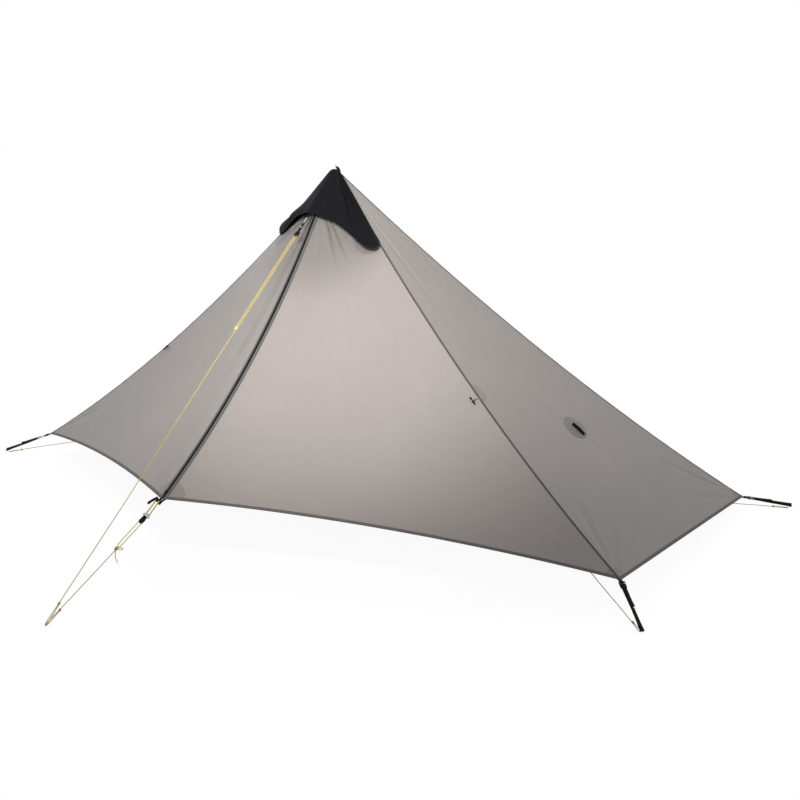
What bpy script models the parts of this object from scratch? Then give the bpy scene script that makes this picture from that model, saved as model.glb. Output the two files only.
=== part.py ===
"""Single-pole ultralight tent: a five-panel fly with two zipped front doors, a mesh inner and its pole.

Metres, +Z up. The origin is the foot of the pole on the ground, +Y points to the back.
Run it with blender --background --python part.py, or from Blender's text editor.
"""

import math

import bmesh
import bpy
import numpy as np

# Fly: the five points that the fabric is cut and pitched to
PEAK = np.array([0.0, 0.0, 1.25])
FRONT_CORNER = np.array([1.342, -0.345, 0.105])
REAR_CORNER = np.array([1.331, 0.761, 0.042])
VESTIBULE_TIP = np.array([0.0, -0.926, 0.256])
ZIP_TOP = np.array([0.0, -0.147, 1.078])
FRONT_SAG = 0.075
REAR_SAG = 0.059
ZIP_SAGITTA = 0.051
DOOR_HEM_ARCH = 0.031
REAR_HEM_ARCH = 0.020
VENT_BOTTOM_ON_RIDGE = 0.235
PANEL_START = 0.035

# Ground points of the four straps and lines, as they were pegged out
FRONT_LEFT_PEG = np.array([-1.561, -0.409, 0.0])
FRONT_RIGHT_PEG = np.array([1.452, -0.432, 0.0])
REAR_RIGHT_PEG = np.array([1.479, 0.854, 0.0])
REAR_LEFT_PEG = np.array([-1.479, 0.854, 0.0])
VESTIBULE_PEG = np.array([0.0, -1.396, 0.0])

# Fabric and tapes
FABRIC = 0.0012
MESH_FABRIC = 0.0010
HEM_WIDTH = 0.011
HEM_THICKNESS = 0.0024
SEAM_HALF_WIDTH = 0.0036
SEAM_HALF_HEIGHT = 0.0013
SEAM_CLEARANCE = 0.0050
FOLD_GAP = 0.0006
FRONT_PANEL_END = 0.800
ZIP_HALF_GAP = 0.0015
ZIP_TAPE_WIDTH = 0.0080
ZIP_TAPE_THICKNESS = 0.0016
GAP = 0.0004

# Webbing, cords and hardware
WEBBING_WIDTH = 0.015
WEBBING = 0.0014
CORD_RADIUS = 0.0011
STRAND_OFFSET = 0.0048
BUCKLE_LENGTH = 0.023
BUCKLE_WIDTH = 0.021
BUCKLE_THICKNESS = 0.0036
BUCKLE_START = 0.005
STRAP_LOOP_RADIUS = 0.0095
STRAP_LOOP_HEIGHT = 0.0136
ANCHOR_TAPE = 0.0010
ANCHOR_WIDTH = 0.012
ANCHOR_RADIUS = 0.0026
ANCHOR_TURN = 0.0096
TOGGLE_LENGTH = 0.028
TOGGLE_RADIUS = 0.0030
TOGGLE_PLACE = 0.550

# Inner tent
INNER_HALF_LENGTH = 1.05
INNER_FRONT = 0.035
INNER_BACK = 0.700
TUB_HEIGHT = 0.100
TUB_LEAN = 0.022
TUB_THICKNESS = 0.0030
INNER_PEAK = np.array([0.0, 0.045, 1.060])

# Pole
UPPER_TUBE_RADIUS = 0.0090
LOWER_TUBE_RADIUS = 0.0070
TUBE_WALL = 0.0012
CLAMP_HEIGHT = 0.62
GRIP_BOTTOM = 1.085
POLE_TOP = 1.206

UP = np.array([0.0, 0.0, 1.0])
RIGHT = np.array([1.0, 0.0, 0.0])
BACKWARD = np.array([0.0, 1.0, 0.0])
MIRROR_X = np.array([-1.0, 1.0, 1.0])


def clear_scene():
    for obj in list(bpy.data.objects):
        bpy.data.objects.remove(obj, do_unlink=True)


def material(name, colour, roughness, metallic=0.0):
    made = bpy.data.materials.new(name)
    made.use_nodes = True
    shader = made.node_tree.nodes["Principled BSDF"]
    shader.inputs["Base Color"].default_value = (*colour, 1.0)
    shader.inputs["Roughness"].default_value = roughness
    shader.inputs["Metallic"].default_value = metallic
    return made


def unit(vector):
    return vector / np.linalg.norm(vector)


def add_object(name, points, faces, finish):
    mesh = bpy.data.meshes.new(name)
    mesh.from_pydata([tuple(map(float, p)) for p in points], [], faces)
    mesh.update()
    obj = bpy.data.objects.new(name, mesh)
    obj.data.materials.append(finish)
    bpy.context.scene.collection.objects.link(obj)
    return obj


def face_outwards(obj):
    """Turns every face of a closed mesh to point out."""
    bm = bmesh.new()
    bm.from_mesh(obj.data)
    bmesh.ops.recalc_face_normals(bm, faces=bm.faces)
    bm.to_mesh(obj.data)
    bm.free()


def smooth(obj, angle=40.0):
    obj.data.shade_smooth()
    obj.data.set_sharp_from_angle(angle=math.radians(angle))


def move_origin(obj, place):
    """Puts the origin of a moving piece on its joint's axis."""
    offset = tuple(map(float, place))
    for vertex in obj.data.vertices:
        vertex.co.x -= offset[0]
        vertex.co.y -= offset[1]
        vertex.co.z -= offset[2]
    obj.location = offset


def boolean(obj, other, operation):
    modifier = obj.modifiers.new(operation.lower(), "BOOLEAN")
    modifier.operation = operation
    modifier.object = other
    modifier.solver = "EXACT"
    other.hide_render = True
    other.display_type = "WIRE"
    return obj


def sheet(name, rows, thickness, finish):
    """A thin closed sheet about a grid of points."""
    across = len(rows[0])
    points = [p for row in rows for p in row]
    faces = []
    for i in range(len(rows) - 1):
        for j in range(across - 1):
            first = i * across + j
            faces.append((first, first + 1, first + across + 1, first + across))
    obj = add_object(name, points, faces, finish)
    solidify = obj.modifiers.new("thickness", "SOLIDIFY")
    solidify.thickness = thickness
    solidify.offset = 0.0
    solidify.use_even_offset = False
    smooth(obj)
    return obj


def swept(name, stations, finish, closed=False):
    """A closed solid through a row of equal outlines, with its two ends filled unless it is a ring."""
    count = len(stations)
    sides = len(stations[0])
    points = [p for outline in stations for p in outline]
    faces = []
    for i in range(count if closed else count - 1):
        a, b = i * sides, ((i + 1) % count) * sides
        for j in range(sides):
            k = (j + 1) % sides
            faces.append((a + j, a + k, b + k, b + j))
    if not closed:
        faces.append(tuple(range(sides)))
        faces.append(tuple((count - 1) * sides + j for j in range(sides)))
    obj = add_object(name, points, faces, finish)
    face_outwards(obj)
    smooth(obj)
    return obj


def tangents(path):
    path = np.asarray(path)
    ahead = np.vstack([path[1:], path[-1:]])
    behind = np.vstack([path[:1], path[:-1]])
    steps = ahead - behind
    return steps / np.linalg.norm(steps, axis=1)[:, None]


def ribbon(name, path, width_axis, width, thickness, finish):
    """Webbing: a flat band that follows a path lying across its width axis."""
    stations = []
    axes = np.broadcast_to(width_axis, (len(path), 3))
    for place, along, axis in zip(path, tangents(path), axes):
        out = unit(np.cross(axis, along)) * thickness / 2
        side = axis * width / 2
        stations.append([place + side + out, place - side + out, place - side - out, place + side - out])
    return swept(name, stations, finish)


def ring(name, path, radius, finish, sides=8):
    """A closed loop of round section along a closed path."""
    path = np.asarray(path)
    count = len(path)
    normal = unit(np.cross(path[count // 4] - path[0], path[count // 2] - path[0]))
    stations = []
    for i, place in enumerate(path):
        along = unit(path[(i + 1) % count] - path[i - 1])
        out = np.cross(along, normal)
        angles = [2 * math.pi * k / sides for k in range(sides)]
        stations.append([place + radius * (math.cos(t) * out + math.sin(t) * normal) for t in angles])
    return swept(name, stations, finish, closed=True)


def turned(name, profile, finish, origin=(0, 0, 0), axis=UP, steps=24):
    """A turned solid from (radius, height) pairs, its first and last points on the axis."""
    axis = unit(np.asarray(axis, float))
    side = unit(np.cross(axis, RIGHT if abs(axis[0]) < 0.9 else BACKWARD))
    other = np.cross(axis, side)
    origin = np.asarray(origin, float)
    points = [origin + axis * profile[0][1]]
    for radius, height in profile[1:-1]:
        for k in range(steps):
            angle = 2 * math.pi * k / steps
            points.append(origin + axis * height + radius * (math.cos(angle) * side + math.sin(angle) * other))
    points.append(origin + axis * profile[-1][1])
    last = len(points) - 1
    rings = len(profile) - 2
    faces = []
    for k in range(steps):
        m = (k + 1) % steps
        faces.append((0, 1 + k, 1 + m))
        for r in range(rings - 1):
            a, b = 1 + r * steps, 1 + (r + 1) * steps
            faces.append((a + k, b + k, b + m, a + m))
        faces.append((last, 1 + (rings - 1) * steps + m, 1 + (rings - 1) * steps + k))
    obj = add_object(name, points, faces, finish)
    face_outwards(obj)
    smooth(obj)
    return obj


def block(name, centre, axes, sizes, finish):
    """A box about a centre, along three given axes."""
    points = []
    for i in (-0.5, 0.5):
        for j in (-0.5, 0.5):
            for k in (-0.5, 0.5):
                points.append(centre + axes[0] * sizes[0] * i + axes[1] * sizes[1] * j + axes[2] * sizes[2] * k)
    faces = [(0, 1, 3, 2), (4, 6, 7, 5), (0, 4, 5, 1), (2, 3, 7, 6), (0, 2, 6, 4), (1, 5, 7, 3)]
    obj = add_object(name, points, faces, finish)
    face_outwards(obj)
    return obj


def cord(name, points, finish):
    """A cord: a round tube along its route."""
    curve = bpy.data.curves.new(name, "CURVE")
    curve.dimensions = "3D"
    curve.bevel_depth = CORD_RADIUS
    curve.bevel_resolution = 2
    curve.use_fill_caps = True
    spline = curve.splines.new("POLY")
    spline.points.add(len(points) - 1)
    for spot, place in zip(spline.points, points):
        spot.co = (*map(float, place), 1.0)
    curve.materials.append(finish)
    obj = bpy.data.objects.new(name, curve)
    bpy.context.scene.collection.objects.link(obj)
    return obj


def smooth_route(points, count):
    """Points evenly spaced along a smooth curve through the route's own points."""
    points = np.asarray(points, float)
    padded = np.vstack([2 * points[0] - points[1], points, 2 * points[-1] - points[-2]])
    dense = []
    for i in range(1, len(padded) - 2):
        p0, p1, p2, p3 = padded[i - 1:i + 3]
        for t in np.linspace(0, 1, 24, endpoint=False):
            cubic = (2 * p1 + (p2 - p0) * t + (2 * p0 - 5 * p1 + 4 * p2 - p3) * t**2
                     + (3 * p1 - p0 - 3 * p2 + p3) * t**3)
            dense.append(cubic / 2)
    dense = np.array(dense + [points[-1]])
    run = np.concatenate([[0], np.cumsum(np.linalg.norm(np.diff(dense, axis=0), axis=1))])
    places = np.linspace(0, run[-1], count)
    return np.stack([np.interp(places, run, dense[:, k]) for k in range(3)], axis=1)


# Master curves of the fly


def ridge(corner, sag, t):
    return PEAK * (1 - t) + corner * t - UP * sag * 4 * t * (1 - t)


def front_ridge(t):
    return ridge(FRONT_CORNER, FRONT_SAG, t)


def rear_ridge(t):
    return ridge(REAR_CORNER, REAR_SAG, t)


def zip_arc():
    """Centre, radius, start angle and turn of the zip's circular arc, in the plane x = 0."""
    chord = VESTIBULE_TIP - ZIP_TOP
    length = np.linalg.norm(chord)
    radius = (length**2 / 4 + ZIP_SAGITTA**2) / (2 * ZIP_SAGITTA)
    outward = unit(np.array([0.0, chord[2], -chord[1]]))
    centre = (ZIP_TOP + VESTIBULE_TIP) / 2 + outward * (radius - ZIP_SAGITTA)
    top, tip = ZIP_TOP - centre, VESTIBULE_TIP - centre
    start = math.atan2(top[2], top[1])
    turn = math.atan2(tip[2], tip[1]) - start
    return centre, radius, start, turn


ZIP_CENTRE, ZIP_RADIUS, ZIP_START, ZIP_TURN = zip_arc()


def zip_curve(t):
    angle = ZIP_START + ZIP_TURN * t
    return ZIP_CENTRE + ZIP_RADIUS * np.array([0.0, math.cos(angle), math.sin(angle)])


def door_surface(u, v):
    """u from the zip to the front ridge, v from the door's top edge to its hem."""
    inner = zip_curve(v)
    outer = front_ridge(VENT_BOTTOM_ON_RIDGE + (1 - VENT_BOTTOM_ON_RIDGE) * v)
    rise = unit(PEAK - (VESTIBULE_TIP + FRONT_CORNER) / 2)
    return inner * (1 - u) + outer * u + rise * DOOR_HEM_ARCH * v**2 * 4 * u * (1 - u)


def end_surface(u, v):
    """u from the front ridge to the rear ridge, v from the peak to the hem."""
    t = PANEL_START + (1 - PANEL_START) * v
    return front_ridge(t) * (1 - u) + rear_ridge(t) * u


def back_surface(u, v):
    """u from the right rear ridge to the left one, v from the peak to the hem."""
    t = PANEL_START + (1 - PANEL_START) * v
    right = rear_ridge(t)
    rise = unit(PEAK - REAR_CORNER * np.array([0.0, 1.0, 1.0]))
    return right * (1 - u) + right * MIRROR_X * u + rise * REAR_HEM_ARCH * v**2 * 4 * u * (1 - u)


def vent_surface(u, v):
    """The fixed panel under the hood: u from the left ridge to the right one, v from the peak down."""
    side = 1.0 if u > 0 else -1.0
    outer = front_ridge(PANEL_START + (VENT_BOTTOM_ON_RIDGE - PANEL_START) * v)
    top = front_ridge(PANEL_START)
    fold = np.array([0.0, top[1] - 0.012, top[2] - 0.002]) * (1 - v) + ZIP_TOP * v
    return fold * (1 - abs(u)) + outer * np.array([side, 1.0, 1.0]) * abs(u)


def length_along(surface, u, v, du, dv):
    """Metres of surface for each unit of u or of v, measured square to the edge it is counted from."""
    step = 0.01
    low_u, high_u = max(0.0, u - step), min(1.0, u + step)
    low_v, high_v = max(0.0, v - step), min(1.0, v + step)
    across = (surface(high_u, v) - surface(low_u, v)) / (high_u - low_u)
    down = (surface(u, high_v) - surface(u, low_v)) / (high_v - low_v)
    return np.linalg.norm(np.cross(across, down)) / np.linalg.norm(down * du + across * dv)


def strip(surface, across, along, insets):
    """A grid on a surface, set back by (u start, u end, v start, v end) metres from its edges."""
    start_u, end_u, start_v, end_v = insets
    rows = []
    for i in range(along + 1):
        b = i / along
        row = []
        for j in range(across + 1):
            a = j / across
            u, v = a, b
            for _ in range(3):
                high = length_along(surface, u, v, 0, 1)
                v = start_v / high + (1 - (start_v + end_v) / high) * b
                wide = length_along(surface, u, v, 1, 0)
                u = start_u / wide + (1 - (start_u + end_u) / wide) * a
            row.append(surface(u, v))
        rows.append(row)
    return rows


def band(surface, across, along, width_u, width_v, insets):
    """As strip, but only the outermost width_u metres (or width_v) of the surface, counted from its far edge."""
    start_u, end_u, start_v, end_v = insets
    rows = []
    for i in range(along + 1):
        b = i / along
        row = []
        for j in range(across + 1):
            a = j / across
            u, v = a, b
            for _ in range(3):
                high = length_along(surface, u, v, 0, 1)
                first_v = 1 - width_v / high if width_v else start_v / high
                v = first_v + (1 - end_v / high - first_v) * b
                wide = length_along(surface, u, v, 1, 0)
                first_u = 1 - width_u / wide if width_u else start_u / wide
                u = first_u + (1 - end_u / wide - first_u) * a
            row.append(surface(u, v))
        rows.append(row)
    return rows


def mirrored(rows):
    return [[p * MIRROR_X for p in row] for row in rows]


def both_sides(name, rows, thickness, finish):
    """The right and the left copy of a sheet."""
    right = sheet("right_" + name, rows, thickness, finish)
    left = sheet("left_" + name, mirrored(rows), thickness, finish)
    return right, left


# Fly panels


def make_end_panels(finish, hem_finish):
    rows = strip(end_surface, 10, 12, (SEAM_CLEARANCE, SEAM_CLEARANCE, 0.0, HEM_WIDTH + GAP))
    both_sides("end_panel", rows, FABRIC, finish)
    hem = band(end_surface, 12, 1, 0, HEM_WIDTH, (SEAM_CLEARANCE, SEAM_CLEARANCE, 0.0, 0.0))
    both_sides("end_hem", hem, HEM_THICKNESS, hem_finish)


def make_back_panel(finish, hem_finish):
    rows = strip(back_surface, 14, 12, (SEAM_CLEARANCE, SEAM_CLEARANCE, 0.0, HEM_WIDTH + GAP))
    sheet("back_panel", rows, FABRIC, finish)
    hem = band(back_surface, 16, 1, 0, HEM_WIDTH, (SEAM_CLEARANCE, SEAM_CLEARANCE, 0.0, 0.0))
    sheet("back_hem", hem, HEM_THICKNESS, hem_finish)


def door_hinge():
    """The right door folds back about the straight line from the top of the zip to the front corner."""
    return ZIP_TOP, unit(FRONT_CORNER - ZIP_TOP)


def fold_place(v, offset):
    """The u at which the front surface lies this far above the fold line, measured in the door's plane."""
    start, along = door_hinge()
    upwards = np.cross(RIGHT_DOOR_NORMAL, along)
    if upwards @ (PEAK - start) < 0:
        upwards = -upwards
    low, high = 0.0, 1.0
    for _ in range(20):
        middle = (low + high) / 2
        if (door_surface(middle, v) - start) @ upwards < offset:
            low = middle
        else:
            high = middle
    return (low + high) / 2


def seam_place(v):
    """The u at which the front cloth meets the seam of the ridge."""
    return 1 - SEAM_CLEARANCE / length_along(door_surface, 0.95, v, 1, 0)


def door_rows(across, along, top, from_hem, to_hem, zip_inset):
    """A grid on the moving part of a door, down to a distance from its hem."""
    rows = []
    levels = np.linspace(0, 1, 60)
    folds = [min(fold_place(v, -FOLD_GAP), seam_place(v)) for v in levels]
    for i in range(along + 1):
        row = []
        for j in range(across + 1):
            a = j / across
            u, v = a, i / along
            for _ in range(5):
                high = length_along(door_surface, u, v, 0, 1)
                first = 1 - from_hem / high if from_hem else top
                v = first + (1 - to_hem / high - first) * i / along
                start = zip_inset / length_along(door_surface, 0.01, v, 1, 0)
                u = start + (np.interp(v, levels, folds) - start) * a
            row.append(door_surface(u, v))
        rows.append(row)
    return rows


def tape_rows(tape_edge, along=24):
    """The strip of the door next to the zip, which carries one row of its coil."""
    rows = []
    for v in np.linspace(0.012, 0.996, along + 1):
        wide = length_along(door_surface, 0.01, v, 1, 0)
        outer = min(tape_edge, fold_place(v, -FOLD_GAP) * wide - GAP)
        rows.append([door_surface(d / wide, v) for d in (ZIP_HALF_GAP, outer)])
    return rows


def make_doors(finish, hem_finish, tape_finish):
    tape_edge = ZIP_HALF_GAP + ZIP_TAPE_WIDTH
    hinge = door_hinge()[0]
    rows = door_rows(12, 14, 0.045, 0, HEM_WIDTH + GAP, tape_edge + GAP)
    hem = door_rows(16, 1, 0, HEM_WIDTH, 0, tape_edge + GAP)
    pieces = [
        both_sides("door", rows, FABRIC, finish),
        both_sides("door_hem", hem, HEM_THICKNESS, hem_finish),
        both_sides("zip_tape", tape_rows(tape_edge), ZIP_TAPE_THICKNESS, tape_finish),
    ]
    for right, left in pieces:
        move_origin(right, hinge)
        move_origin(left, hinge * MIRROR_X)


def make_front_panels(finish):
    """The part of the front cloth above each door's fold line, which stays when the door is folded back."""
    rows = []
    for v in np.linspace(0.002, FRONT_PANEL_END, 19):
        wide = length_along(door_surface, 0.9, v, 1, 0)
        inner = max(fold_place(v, FOLD_GAP), ZIP_HALF_GAP / wide)
        outer = seam_place(v)
        rows.append([door_surface(inner + (outer - inner) * k / 4, v) for k in range(5)])
    both_sides("front_panel", rows, FABRIC, finish)


def make_vent_panel(finish):
    rows = []
    for i in range(5):
        v = i / 4 * 0.985
        row = []
        for j in range(-6, 7):
            u = j / 6
            wide = length_along(vent_surface, 0.9, v, 1, 0)
            row.append(vent_surface(u * (1 - SEAM_CLEARANCE / wide), v))
        rows.append(row)
    sheet("vent_panel", rows, FABRIC, finish)


def seam_outline(place, along, normal):
    side = unit(np.cross(along, normal))
    out = unit(np.cross(side, along))
    half, high = SEAM_HALF_WIDTH, SEAM_HALF_HEIGHT
    outline = [(half, 0.0), (half * 0.55, high), (-half * 0.55, high),
               (-half, 0.0), (-half * 0.55, -high), (half * 0.55, -high)]
    return [place + side * s + out * o for s, o in outline]


def panel_normal(a, b):
    return unit(np.cross(a - PEAK, b - PEAK))


RIGHT_DOOR_NORMAL = panel_normal(VESTIBULE_TIP, FRONT_CORNER)
RIGHT_END_NORMAL = panel_normal(FRONT_CORNER, REAR_CORNER)
BACK_NORMAL = panel_normal(REAR_CORNER, REAR_CORNER * MIRROR_X)
FRONT_RIDGE_OUT = unit(RIGHT_DOOR_NORMAL + RIGHT_END_NORMAL)
REAR_RIDGE_OUT = unit(RIGHT_END_NORMAL + BACK_NORMAL)


def make_seam(name, curve, outward, finish, mirror):
    """The felled seam along a ridge, from the peak cap to the corner."""
    stations = []
    places = [curve(t) for t in np.linspace(PANEL_START, 0.998, 23)]
    for place, along in zip(places, tangents(places)):
        outline = seam_outline(place, along, outward)
        stations.append([p * MIRROR_X for p in outline] if mirror else outline)
    return swept(name, stations, finish)


def anchor_stations(path, axis, widths, thickness):
    stations = []
    for place, along, width in zip(path, tangents(path), widths):
        out = unit(np.cross(axis, along)) * thickness / 2
        side = axis * width / 2
        stations.append([place + side + out, place - side + out, place - side - out, place + side - out])
    return stations


def make_anchor(seam, curve, mirror, corner, peg, finish):
    """The loop of tape at the corner that holds the strap's buckle by its first bar."""
    along, side, out, _ = corner_axes(corner, peg)
    turn = [(ANCHOR_TURN + ANCHOR_RADIUS * math.sin(a), -ANCHOR_RADIUS * math.cos(a))
            for a in np.linspace(0, math.pi, 7)]
    route = [(0.0014, -0.0010), (0.0038, -ANCHOR_RADIUS)] + turn + [(0.0038, ANCHOR_RADIUS), (0.0014, 0.0010),
                                                                    (0.0006, 0.0)]
    places = np.array([corner + along * s + out * n for s, n in route])
    ahead, behind = np.roll(places, -1, axis=0), np.roll(places, 1, axis=0)
    stations = []
    for place, step, (s, _) in zip(places, ahead - behind, route):
        width = 0.0074 + (ANCHOR_WIDTH - 0.0074) * min(1.0, max(0.0, (s - 0.0006) / 0.0045))
        lift = unit(np.cross(side, unit(step))) * ANCHOR_TAPE / 2
        half = side * width / 2
        stations.append([place + half + lift, place - half + lift, place - half - lift, place + half - lift])
    loop = swept(seam.name + "_loop_guide", stations, finish, closed=True)
    end = curve(0.9955) * (MIRROR_X if mirror else 1.0)
    neck_path = [end, corner - along * 0.0002, corner + along * 0.0021]
    neck = swept(seam.name + "_neck_guide", anchor_stations(neck_path, side, (0.0050, 0.0060, 0.0064), 0.0017), finish)
    boolean(seam, neck, "UNION")
    boolean(seam, loop, "UNION")


def make_seams(finish):
    for place, curve, outward in (("front", front_ridge, FRONT_RIDGE_OUT), ("rear", rear_ridge, REAR_RIDGE_OUT)):
        for side, mirror in (("right", False), ("left", True)):
            seam = make_seam(place + "_" + side + "_seam", curve, outward, finish, mirror)
            for prefix, corner, peg, _ in CORNERS:
                if prefix == place + "_" + side:
                    make_anchor(seam, curve, mirror, corner, peg, finish)


def make_peak_cap(finish):
    """The reinforced cone that the panels and the pole meet in, with its hang tab."""
    profile = [(0, 1.213), (0.0115, 1.213), (0.0165, 1.219), (0.0130, 1.236), (0.0060, 1.252), (0, 1.254)]
    cap = turned("peak_cap", profile, finish, steps=20)
    tab = block("peak_tab_guide", np.array([0.0, 0.001, 1.2580]), (RIGHT, BACKWARD, UP),
                (0.0090, 0.0024, 0.0160), finish)
    boolean(cap, tab, "UNION")


# Storm hood

HOOD_APEX = np.array([0.0, -0.010, 1.274])
HOOD_BULGE = 0.016
HOOD_BULGE_NORMAL = np.array([-0.662, -0.425, 0.617])
HOOD_BRIM = (
    (0.2455, -0.0655, 1.0045),
    (0.261, -0.094, 0.990),
    (0.256, -0.124, 0.986),
    (0.236, -0.150, 0.997),
    (0.205, -0.160, 1.022),
    (0.158, -0.158, 1.053),
    (0.100, -0.153, 1.083),
    (0.045, -0.163, 1.103),
    (0.0, -0.170, 1.112),
    (-0.030, -0.159, 1.107),
    (-0.076, -0.142, 1.093),
    (-0.119, -0.126, 1.069),
    (-0.155, -0.111, 1.044),
    (-0.190, -0.094, 1.024),
    (-0.219, -0.077, 1.014),
    (-0.2345, -0.0615, 1.0135),
)


def brim_route(count):
    """The brim from the right ridge over the zip to the left ridge."""
    return smooth_route([np.array(p) for p in HOOD_BRIM], count)


def hood_point(edge, b):
    """A point of the hood between its apex and its brim; its left lobe bulges over the ridge."""
    left = min(1.0, max(0.0, (-edge[0] - 0.02) / 0.10))
    bulge = HOOD_BULGE * left * b * (1 - b**3) / 0.4725
    return HOOD_APEX * (1 - b) + edge * b + HOOD_BULGE_NORMAL * bulge


def make_hood(finish, brim_finish):
    brim = brim_route(41)
    rows = []
    for b in np.linspace(0.11, 0.985, 11):
        rows.append([hood_point(edge, b) for edge in brim])
    sheet("hood", rows, 0.0014, finish)
    wire = [HOOD_APEX * (1 - 1.004) + edge * 1.004 for edge in brim_route(49)[1:-1]]
    stations = []
    for place, along in zip(wire, tangents(wire)):
        out = unit(place - HOOD_APEX)
        side = np.cross(along, out)
        stations.append([place + out * 0.0022 * math.cos(k * math.pi / 3) + side * 0.0016 * math.sin(k * math.pi / 3)
                         for k in range(6)])
    swept("hood_brim", stations, brim_finish)


# Zip slider


def make_zip_slider(finish):
    """A slider that straddles both tapes at the bottom of the zip, with a lug in front."""
    place = zip_curve(0.975)
    along = unit(zip_curve(0.985) - zip_curve(0.965))
    lateral = unit(door_surface(0.02, 0.975) - door_surface(0.0, 0.975))
    lateral = unit(lateral - along * (lateral @ along))
    normal = unit(np.cross(lateral, along))
    if normal[2] < 0:
        normal = -normal
    outer, inner, web, reach = 0.0033, 0.0017, 0.0006, 0.0046

    def at_x(x, height):
        return place + lateral * (x - normal[0] * height) / lateral[0] + normal * height

    def at_reach(height):
        return place + lateral * reach + normal * height

    right = [at_x(0.0, outer), at_reach(outer), at_reach(inner), at_x(web, inner),
             at_x(web, -inner), at_reach(-inner), at_reach(-outer), at_x(0.0, -outer)]
    left = [p * MIRROR_X for p in right[::-1]][1:-1]
    outline = right + left
    stations = [[p + along * d for p in outline] for d in (-0.0065, 0.0065)]
    body = swept("zip_slider", stations, finish)
    out = unit(np.cross(RIGHT, along))
    out = out if out[2] > 0 else -out
    lug = block("zip_lug_guide", place + out * 0.0042 - along * 0.001, (RIGHT, along, out),
                (0.0022, 0.0075, 0.0040), finish)
    boolean(body, lug, "UNION")
    move_origin(body, ZIP_CENTRE)
    move_origin(lug, ZIP_CENTRE)


# Corner straps


def corner_axes(corner, peg):
    end = peg + UP * STRAP_LOOP_HEIGHT
    along = unit(end - corner)
    side = unit(np.cross(along, UP))
    return along, side, np.cross(side, along), np.linalg.norm(end - corner)


def make_corner(prefix, corner, peg, tail_share, webbing_finish, buckle_finish):
    along, side, out, length = corner_axes(corner, peg)
    centre = corner + along * (BUCKLE_START + BUCKLE_LENGTH / 2)
    frame = block(prefix + "_buckle", centre, (along, side, out),
                  (BUCKLE_LENGTH, BUCKLE_WIDTH, BUCKLE_THICKNESS), buckle_finish)
    bevel = frame.modifiers.new("edges", "BEVEL")
    bevel.width = 0.0009
    bevel.segments = 1
    for label, place, size in (("upper", -0.0050, 0.0050), ("lower", 0.0040, 0.0070)):
        slot = block(prefix + "_buckle_" + label + "_slot", centre + along * place, (along, side, out),
                     (size, WEBBING_WIDTH + 0.0014, 0.02), buckle_finish)
        boolean(frame, slot, "DIFFERENCE")
    bar = BUCKLE_START + BUCKLE_LENGTH / 2 + 0.0095
    path = []
    tail = tail_share * length
    path.append((tail, 0.0048))
    path.append(((tail + bar) / 2, 0.0043))
    for k in range(7):
        angle = math.pi / 2 + math.pi * k / 6
        path.append((bar + 0.0038 * math.cos(angle), 0.0038 * math.sin(angle)))
    path.append((bar + 0.014, -0.0024))
    path.append((length * 0.5, -0.0014))
    path.append((length - 0.040, -0.0014))
    path.append((length - 0.018, -0.0060))
    for k in range(9):
        angle = -math.pi * 0.62 + math.pi * 1.24 * k / 8
        path.append((length + STRAP_LOOP_RADIUS * math.cos(angle), STRAP_LOOP_RADIUS * math.sin(angle)))
    path.append((length - 0.018, 0.0060))
    path.append((length - 0.040, 0.0014))
    path.append((length - 0.055, 0.0014))
    places = [corner + along * s + out * n for s, n in path]
    ribbon(prefix + "_strap", places, side, WEBBING_WIDTH, WEBBING, webbing_finish)


CORNERS = (
    ("front_left", FRONT_CORNER * MIRROR_X, FRONT_LEFT_PEG, 0.645),
    ("front_right", FRONT_CORNER, FRONT_RIGHT_PEG, 0.560),
    ("rear_right", REAR_CORNER, REAR_RIGHT_PEG, 0.600),
    ("rear_left", REAR_CORNER * MIRROR_X, REAR_LEFT_PEG, 0.600),
)


# Lines


def eye_route(peg, towards, reach, half_width, lift=0.0):
    """The eye that a line ends in round its peg, from the knot back to the knot."""
    flat = unit((towards - peg) * np.array([1.0, 1.0, 0.0]))
    side = np.array([-flat[1], flat[0], 0.0])
    low = UP * (CORD_RADIUS + 0.0002 + lift)
    slope = (towards - peg)[2] / np.linalg.norm((towards - peg)[:2])
    spots = [(reach, -CORD_RADIUS * 1.35), (reach * 0.6, -half_width * 0.9), (reach * 0.25, -half_width),
             (0.002, -half_width * 0.72), (-0.0035, 0.0), (0.002, half_width * 0.72),
             (reach * 0.25, half_width), (reach * 0.6, half_width * 0.9), (reach, CORD_RADIUS * 1.35)]
    return list(smooth_route([peg + flat * a + side * b + low + UP * max(0.0, a) * slope for a, b in spots], 24))


INNER_LINE_ENDS = (
    ("front_left", FRONT_LEFT_PEG, np.array([-1.0305, 0.0425, 0.0980])),
    ("front_right", FRONT_RIGHT_PEG, np.array([0.9233, 0.0375, 0.0464])),
    ("rear_right", REAR_RIGHT_PEG, np.array([1.0465, 0.6181, 0.0282])),
    ("rear_left", REAR_LEFT_PEG, np.array([-1.0465, 0.6181, 0.0282])),
)


def make_inner_lines(finish):
    for prefix, peg, end in INNER_LINE_ENDS:
        inward = unit((end - peg) * np.array([1.0, 1.0, 0.0]))
        eye = eye_route(peg + inward * 0.004, end, 0.050, 0.0055)
        run = [eye[-1] * (1 - t) + end * t for t in (0.15, 0.35, 0.6, 0.8, 1.0)]
        run[1] -= UP * 0.002
        run[2] -= UP * 0.003
        cord(prefix + "_inner_line", eye + run, finish)


GUY_DIRECTION = unit(VESTIBULE_PEG - PEAK)
GUY_OUT = np.array([0.0, GUY_DIRECTION[2], -GUY_DIRECTION[1]])
GUY_STRAP_START = 0.0188
GUY_STRAP_END = 0.302
GUY_LOCK_LENGTH = 0.026
GUY_KNOT = 0.748


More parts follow.
